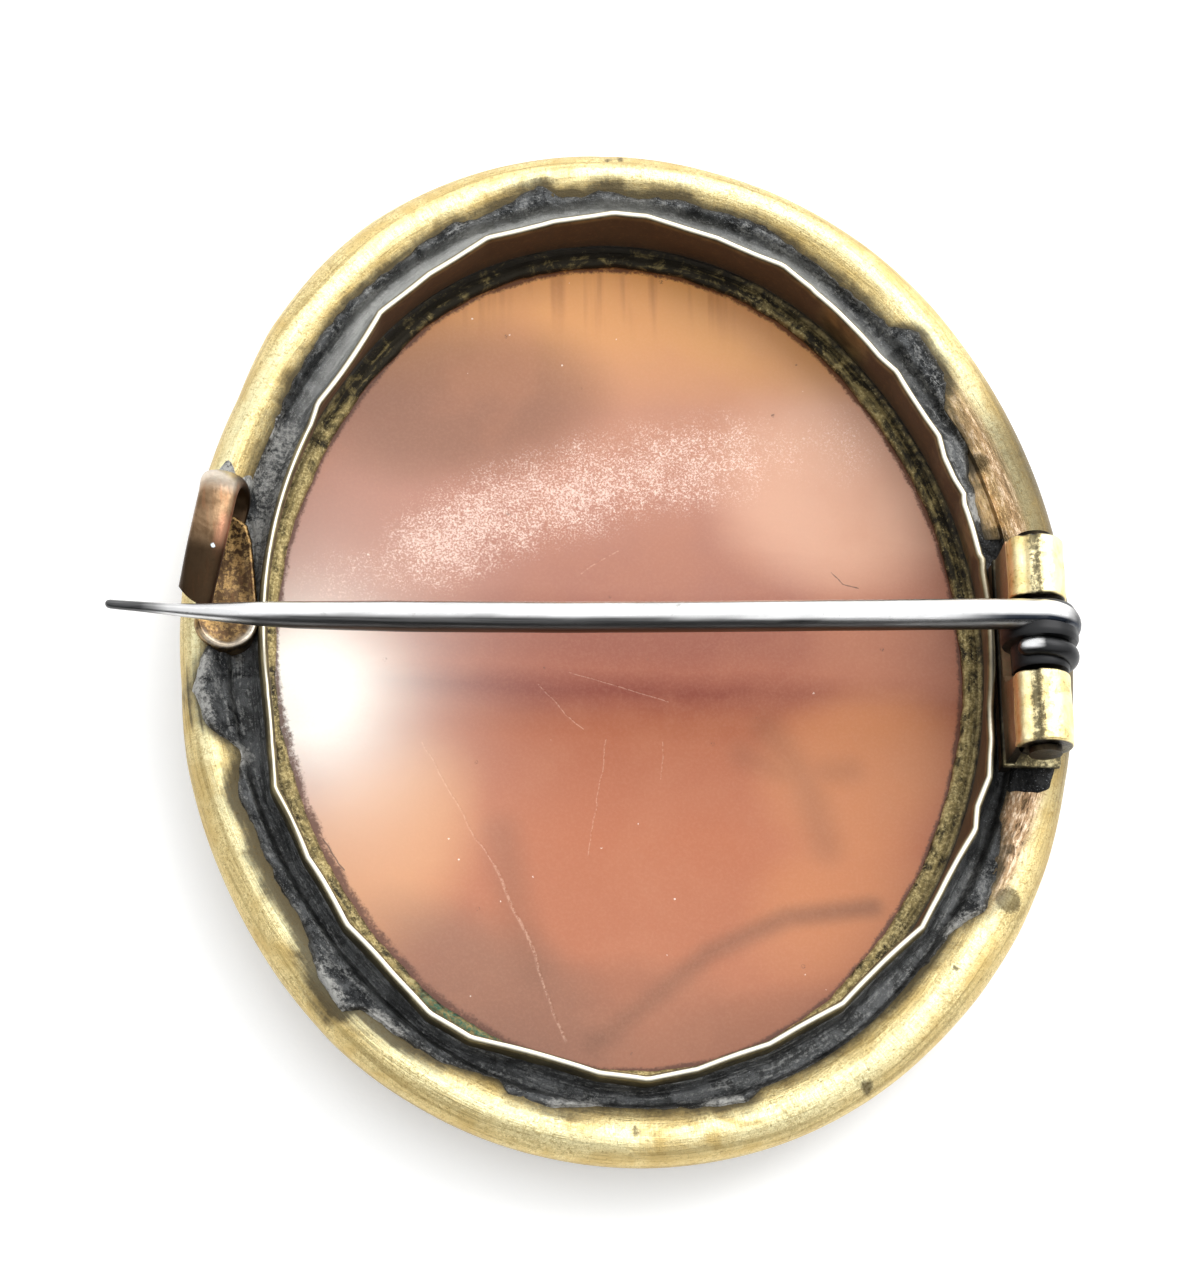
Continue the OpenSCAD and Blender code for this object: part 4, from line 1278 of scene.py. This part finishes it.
def rose_height(x, y):
    """Height of the rose's petals: each ring stands over the one outside it."""
    y -= 1.8
    r, turn = math.hypot(x, y), math.degrees(math.atan2(y, x))
    best = 0.0
    for radius, petals, first, stand in PETAL_RINGS:
        part = ((turn - first) % (360/petals))/(360/petals) - 0.5
        edge = radius*(1.0 - 0.34*abs(part)**2.2*4)*(1 + 0.02*math.sin(part*31))
        inside = edge - r
        if inside > 0:
            curl = stand*smooth(0, 0.16, inside)*(0.72 + 0.28*smooth(1.2, 0.1, inside))
            fold = 0.10*smooth(0.12, 0.0, abs(abs(part) - 0.5)*r)*smooth(0, 0.2, inside)
            best = max(best, curl - fold)
    return best


def stem_height(x, y):
    """Height of the curved stem and the two buds under the rose."""
    best = 0.0
    bend = 0.9*math.sin((y + 12.5)*0.22)
    if -12.2 < y < -1.5:
        best = 0.30*smooth(0.42, 0.12, abs(x - bend + 0.4))
    for bx, by, size in ((4.1, -8.2, 1.15), (-4.6, -2.9, 1.0), (5.9, 8.9, 0.9)):
        out = math.hypot((x - bx)*1.25, y - by)/size
        if out < 1:
            best = max(best, 0.34*math.sqrt(1 - out*out) - 0.06*smooth(0.15, 0, abs(x - bx)))
    return best


def carved(x, y):
    """Height of the whole relief over the ground."""
    return max(rose_height(x, y), leaf_height(x, y), stem_height(x, y))


def reach(turn, inset):
    """Distance from the middle of the oval to a line at this inset, in a direction."""
    c, s = abs(math.cos(turn)), abs(math.sin(turn))
    out = SIDE_R - inset
    far = -SIDE_C*c + math.sqrt(out*out - SIDE_C**2 + (SIDE_C*c)**2)
    if math.atan2(far*s, far*c + SIDE_C) <= JOIN:
        return far
    out = END_R - inset
    return END_C*s + math.sqrt(out*out - END_C**2 + (END_C*s)**2)


print(f"relief stands {max(carved(0, y/10) for y in range(-120, 120)):.2f} mm over its ground at most")

# %% Finish of the shell's back
shell = Finish("shell")
spot = shell.place()
x, y, z = shell.split(spot)
drift = shell.cloud(shell.stretch(spot, (0.07, 0.16, 0.1)), 1.0, 5, 0.6, 0.3)
soft = shell.cloud(spot, 0.22, 4, 0.55, 0.2)
fine_grain = shell.cloud(spot, 9.0, 4, 0.7)
layer = shell.node("ShaderNodeMapRange", {}, y + x*0.02 + (drift - 0.5)*2.0, -17.0, 17.0, 0.0, 1.0)
# the shell's layers, with the dark stops from 0.44 to 0.545 as a painted shadow of the pin and a darker
# band beside it
bands_and_pin_shadow = shell.node("ShaderNodeValToRGB", {"stops": [
    (0.00, (0.25, 0.095, 0.052)), (0.13, (0.37, 0.125, 0.058)), (0.30, (0.40, 0.122, 0.050)),
    (0.41, (0.36, 0.104, 0.044)), (0.440, (0.30, 0.080, 0.033)), (0.467, (0.18, 0.024, 0.006)),
    (0.492, (0.28, 0.076, 0.037)), (0.515, (0.25, 0.070, 0.038)), (0.545, (0.25, 0.075, 0.042)),
    (0.59, (0.34, 0.135, 0.090)), (0.70, (0.38, 0.165, 0.110)), (0.80, (0.44, 0.200, 0.120)),
    (0.88, (0.60, 0.275, 0.100)), (1.00, (0.74, 0.320, 0.085))]}, layer)


def blob(at, wide, tall, turn=0.0):
    """Soft oval patch of a finish: 1 in its middle, 0 outside."""
    c, s = math.cos(math.radians(turn)), math.sin(math.radians(turn))
    u = (x - at[0])*(c/wide) + (y - at[1])*(s/wide)
    v = (y - at[1])*(c/tall) - (x - at[0])*(s/tall)
    return (1.0 - (u*u + v*v) + (drift - 0.5)*0.7).step(0.0, 0.9)


PATCHES = [  # middle, half width, half height, turn in degrees, share, colour
    ((10.8, 1.5), 4.2, 9.0, 0, 0.5, (0.42, 0.160, 0.080)),
    ((9.0, -4.2), 4.6, 3.8, 20, 0.8, (0.50, 0.190, 0.072)),
    ((-5.6, 10.4), 6.8, 4.0, 12, 0.72, (0.185, 0.076, 0.040)),
    ((-9.4, -8.0), 4.2, 6.6, -30, 0.75, (0.60, 0.28, 0.115)),
    ((-5.0, -13.2), 7.0, 3.6, -35, 0.75, (0.22, 0.100, 0.058)),
    ((4.5, -14.8), 7.5, 2.2, 16, 0.5, (0.25, 0.095, 0.045)),
    ((8.8, 7.4), 6.0, 5.6, 0, 0.72, (0.68, 0.39, 0.265)),
    ((8.0, -9.6), 4.6, 3.4, 30, 0.6, (0.52, 0.20, 0.075)),
    ((6.0, 13.4), 5.4, 2.8, -20, 0.5, (0.60, 0.29, 0.095)),
    ((-0.5, -13.8), 5.6, 2.6, 0, 0.45, (0.22, 0.085, 0.045))
]
patched = [(blob(*shape)*share, colour) for *shape, share, colour in PATCHES]
# painted highlight: a bright reflection on the shell's left
glow = (shell.measure("glow")*(1.0 + (drift - 0.5)*0.5)).least(1.0)
# painted sheen with fine glints, in a band across the upper half of the shell
sparkle = shell.measure("sparkle")
glint = shell.cloud(spot, 13.0, 3, 0.8, 0.4)
broken = shell.cloud(spot, 0.9, 4, 0.65)
misty = (sparkle*(broken*2.0 - 0.1)).least(1.0)
streaks = shell.cloud(shell.stretch(spot, (1.1, 0.05, 1.0)), 1.0, 3, 0.6)
bent = shell.join(x + (soft - 0.5)*1.1, y + (drift - 0.5)*1.1, 0.0)
SCRATCHES = [  # from x, y to x, y in mm, and half the width
    ((-7.6, -3.3), (-4.9, -8.2), 0.022), ((-4.9, -8.2), (-2.4, -14.8), 0.04),
    ((-1.5, -7.6), (-0.6, -3.0), 0.018), ((-3.2, -0.9), (-1.4, -2.6), 0.018),
    ((-1.3, 3.6), (0.1, 4.6), 0.02), ((1.6, -4.4), (1.7, -3.0), 0.015),
    ((-2.0, -0.4), (1.9, -1.5), 0.015)
]
FIBRES = [
    ((8.2, 3.8), (8.6, 3.3), 0.014), ((8.6, 3.3), (9.2, 3.1), 0.014),
    ((-11.4, -7.2), (-10.6, -8.4), 0.02)
]


def strokes(rows):
    """Thin lines of a finish: 1 on them, 0 beside them."""
    drawn = 0.0
    for a, b, half in rows:
        way = Vector((*b, 0)) - Vector((*a, 0))
        from_a = shell.node("ShaderNodeVectorMath", {"operation": "SUBTRACT"}, bent, (*a, 0))
        along = shell.node("ShaderNodeVectorMath", {"operation": "DOT_PRODUCT"}, from_a,
                           tuple(way/way.length_squared), out=1).most(0.0).least(1.0)
        nearest = shell.node("ShaderNodeVectorMath", {"operation": "SCALE"}, tuple(way), Scale=along)
        away = shell.node("ShaderNodeVectorMath", {"operation": "DISTANCE"}, from_a, nearest, out=1)
        drawn = (1.0 - (away + (fine_grain - 0.5)*0.06).step(half*0.5, half*2.2)).most(drawn)
    return drawn


scratched = strokes(SCRATCHES)
dust = 1.0 - shell.cells(spot, 0.8).step(0.022, 0.040)
specks = 1.0 - shell.cells(spot, 0.55).step(0.035, 0.06)
dirt = shell.measure("rim_dirt") + (fine_grain - 0.5)*0.9 + (broken - 0.5)*0.9
tone = shell.coats(
    bands_and_pin_shadow, *patched,
    # painted soft shadows in the lower half of the shell
    (shell.measure("veil")*0.65, (0.150, 0.058, 0.028)),
    (soft.step(0.45, 0.7)*0.22, (0.46, 0.185, 0.095)),
    # painted highlight on the shell's left
    (glow, (0.97, 0.92, 0.84)),
    # painted sheen and glints
    (misty*0.16, (0.66, 0.36, 0.28)),
    ((glint + misty*0.15).step(0.57, 0.72)*misty.step(0.05, 0.65)*0.62, (0.97, 0.78, 0.68)),
    (streaks.step(0.48, 0.66)*y.step(12.4, 15.4)*0.45, (0.30, 0.105, 0.030)),
    (scratched*fine_grain.step(0.40, 0.60)*0.30, (0.80, 0.52, 0.38)),
    (strokes(FIBRES)*0.8, (0.06, 0.045, 0.035)),
    (dust*fine_grain.step(0.48, 0.56)*0.8, (0.98, 0.86, 0.76)),
    (fine_grain.step(0.40, 0.70)*0.05, (0.80, 0.45, 0.30)),
    (specks*fine_grain.step(0.45, 0.6)*0.7, (0.09, 0.045, 0.03)),
    (dirt.step(0.55, 1.0)*0.9, (0.085, 0.024, 0.008)))
carved_tone = shell.coats(
    (0.42, 0.16, 0.09),
    (shell.measure("carved"), (0.86, 0.76, 0.66)),
    ((1.0 - fine_grain).step(0.5, 0.75)*0.25, (0.56, 0.36, 0.26)))
tone = shell.mix(shell.measure("front"), tone, carved_tone)
shell.surface(Base_Color=tone, Roughness=(0.30 + fine_grain*0.10 + sparkle*0.12),
              Subsurface_Weight=0.06, Subsurface_Scale=0.0006, IOR=1.36, Coat_Roughness=0.08,
              Coat_Weight=(0.12 - shell.measure("front")*0.06),
              Normal=shell.bump(fine_grain*0.25 + scratched*-0.4 + glint*sparkle*0.6, 0.02, 0.5))

# %% Shell with its hollow back and carved front
bm = bmesh.new()
line = [(s/60, 1) for s in range(61)] + [
    (1.25, 1), (1.6, 1), (1.9, 1), (2.0, 0.8), (2.0, -0.8), (1.9, -1), (1.6, -1), (1.25, -1)]
line += [(s/120, -1) for s in range(120, -1, -1)]
corners = [bm.verts.new((s, 0, side)) for s, side in line]
edges = [bm.edges.new(pair) for pair in zip(corners, corners[1:])]
bmesh.ops.spin(bm, geom=corners + edges, cent=(0, 0, 0), axis=(0, 0, 1), angle=2*math.pi, steps=360,
               use_merge=True)
bmesh.ops.remove_doubles(bm, verts=bm.verts, dist=1e-5)
front_layer = bm.verts.layers.float.new("front")
carved_layer = bm.verts.layers.float.new("carved")
for v in bm.verts:
    s, side, turn = math.hypot(v.co.x, v.co.y), v.co.z, math.atan2(v.co.y, v.co.x)
    inner, outer = reach(turn, 4.06), reach(turn, 3.28)
    far = inner*s if s <= 1 else inner + (outer - inner)*(s - 1)
    px, py = far*math.cos(turn), far*math.sin(turn)
    bowl = max(0.0, 1 - (px/FACE_W)**2 - (py/FACE_L)**2)
    if side > 0.9:
        z_at = SHELL_BACK - HOLLOW*bowl
    elif side < -0.9:
        fade = smooth(0.0, 0.10, bowl)
        tall = carved(px, py)*fade
        z_at = max(0.10, SHELL_FRONT - SWELL*bowl - tall - 0.02*grit(px, py, 0, 1.2, 60)*fade)
        v[front_layer], v[carved_layer] = 1.0, smooth(0.05, 0.2, tall)
    else:
        z_at = SHELL_FRONT + 0.06 if side < 0 else SHELL_BACK - 0.06
    v.co = (px, py, z_at)
bmesh.ops.recalc_face_normals(bm, faces=bm.faces)


def near_line(p, ends, wide):
    """Closeness to a chain of straight strokes, 1 on it and 0 past its width."""
    return smooth(wide, 0, min(off_stroke(p.x, p.y, *pair) for pair in zip(ends, ends[1:])))


# Painted soft shadows in the lower half of the shell.
SHADOW_VEILS = [  # a chain of points, its half width and its strength
    ([(-1.4, -15.0), (0.9, -13.2), (3.0, -11.4), (6.0, -10.0), (9.2, -9.6)], 0.72, 1.0),
    ([(-4.6, -6.8), (-4.2, -9.6), (-3.4, -12.0)], 1.3, 0.5),
    ([(5.6, -2.6), (6.9, -4.6), (7.6, -7.2)], 1.2, 0.5),
    ([(4.6, -3.6), (6.6, -4.4), (8.6, -4.2)], 1.0, 0.4)
]
# Where the painted sheen and glints lie: chains of points, half widths and strengths.
GLINTS = [
    ([(-11.0, 2.8), (-7.4, 4.0)], 2.6, 0.45), ([(-6.8, 4.7), (-4.4, 6.0), (-0.8, 7.1)], 3.2, 1.0),
    ([(-0.8, 7.3), (4.2, 8.3)], 3.2, 0.85), ([(4.2, 8.5), (9.4, 9.0)], 3.0, 0.40)
]


# painted highlight: a bright reflection on the shell's left
def glow_at(p):
    core = math.exp(-((p.x + 12.0)/3.2)**2 - ((p.y + 1.6)/2.9)**2)
    halo = math.exp(-((p.x + 12.0)/5.6)**2 - ((p.y + 1.5)/6.4)**2)
    return 0.9*core + 0.34*halo


# the painted soft shadows, then the painted highlight on the left
mark(bm, veil=lambda p: max(k*near_line(p, ends, wide) for ends, wide, k in SHADOW_VEILS), glow=glow_at,
     # where the painted sheen and glints lie
     sparkle=lambda p: max(k*near_line(p, ends, wide) for ends, wide, k in GLINTS),
     rim_dirt=lambda p: smooth(4.42 + 0.4*over(p.far, 58, 64, 78, 86), 4.05, p.inset))
piece("carved_shell", bm, shell, stands_for=("cameo",), sharp=50)
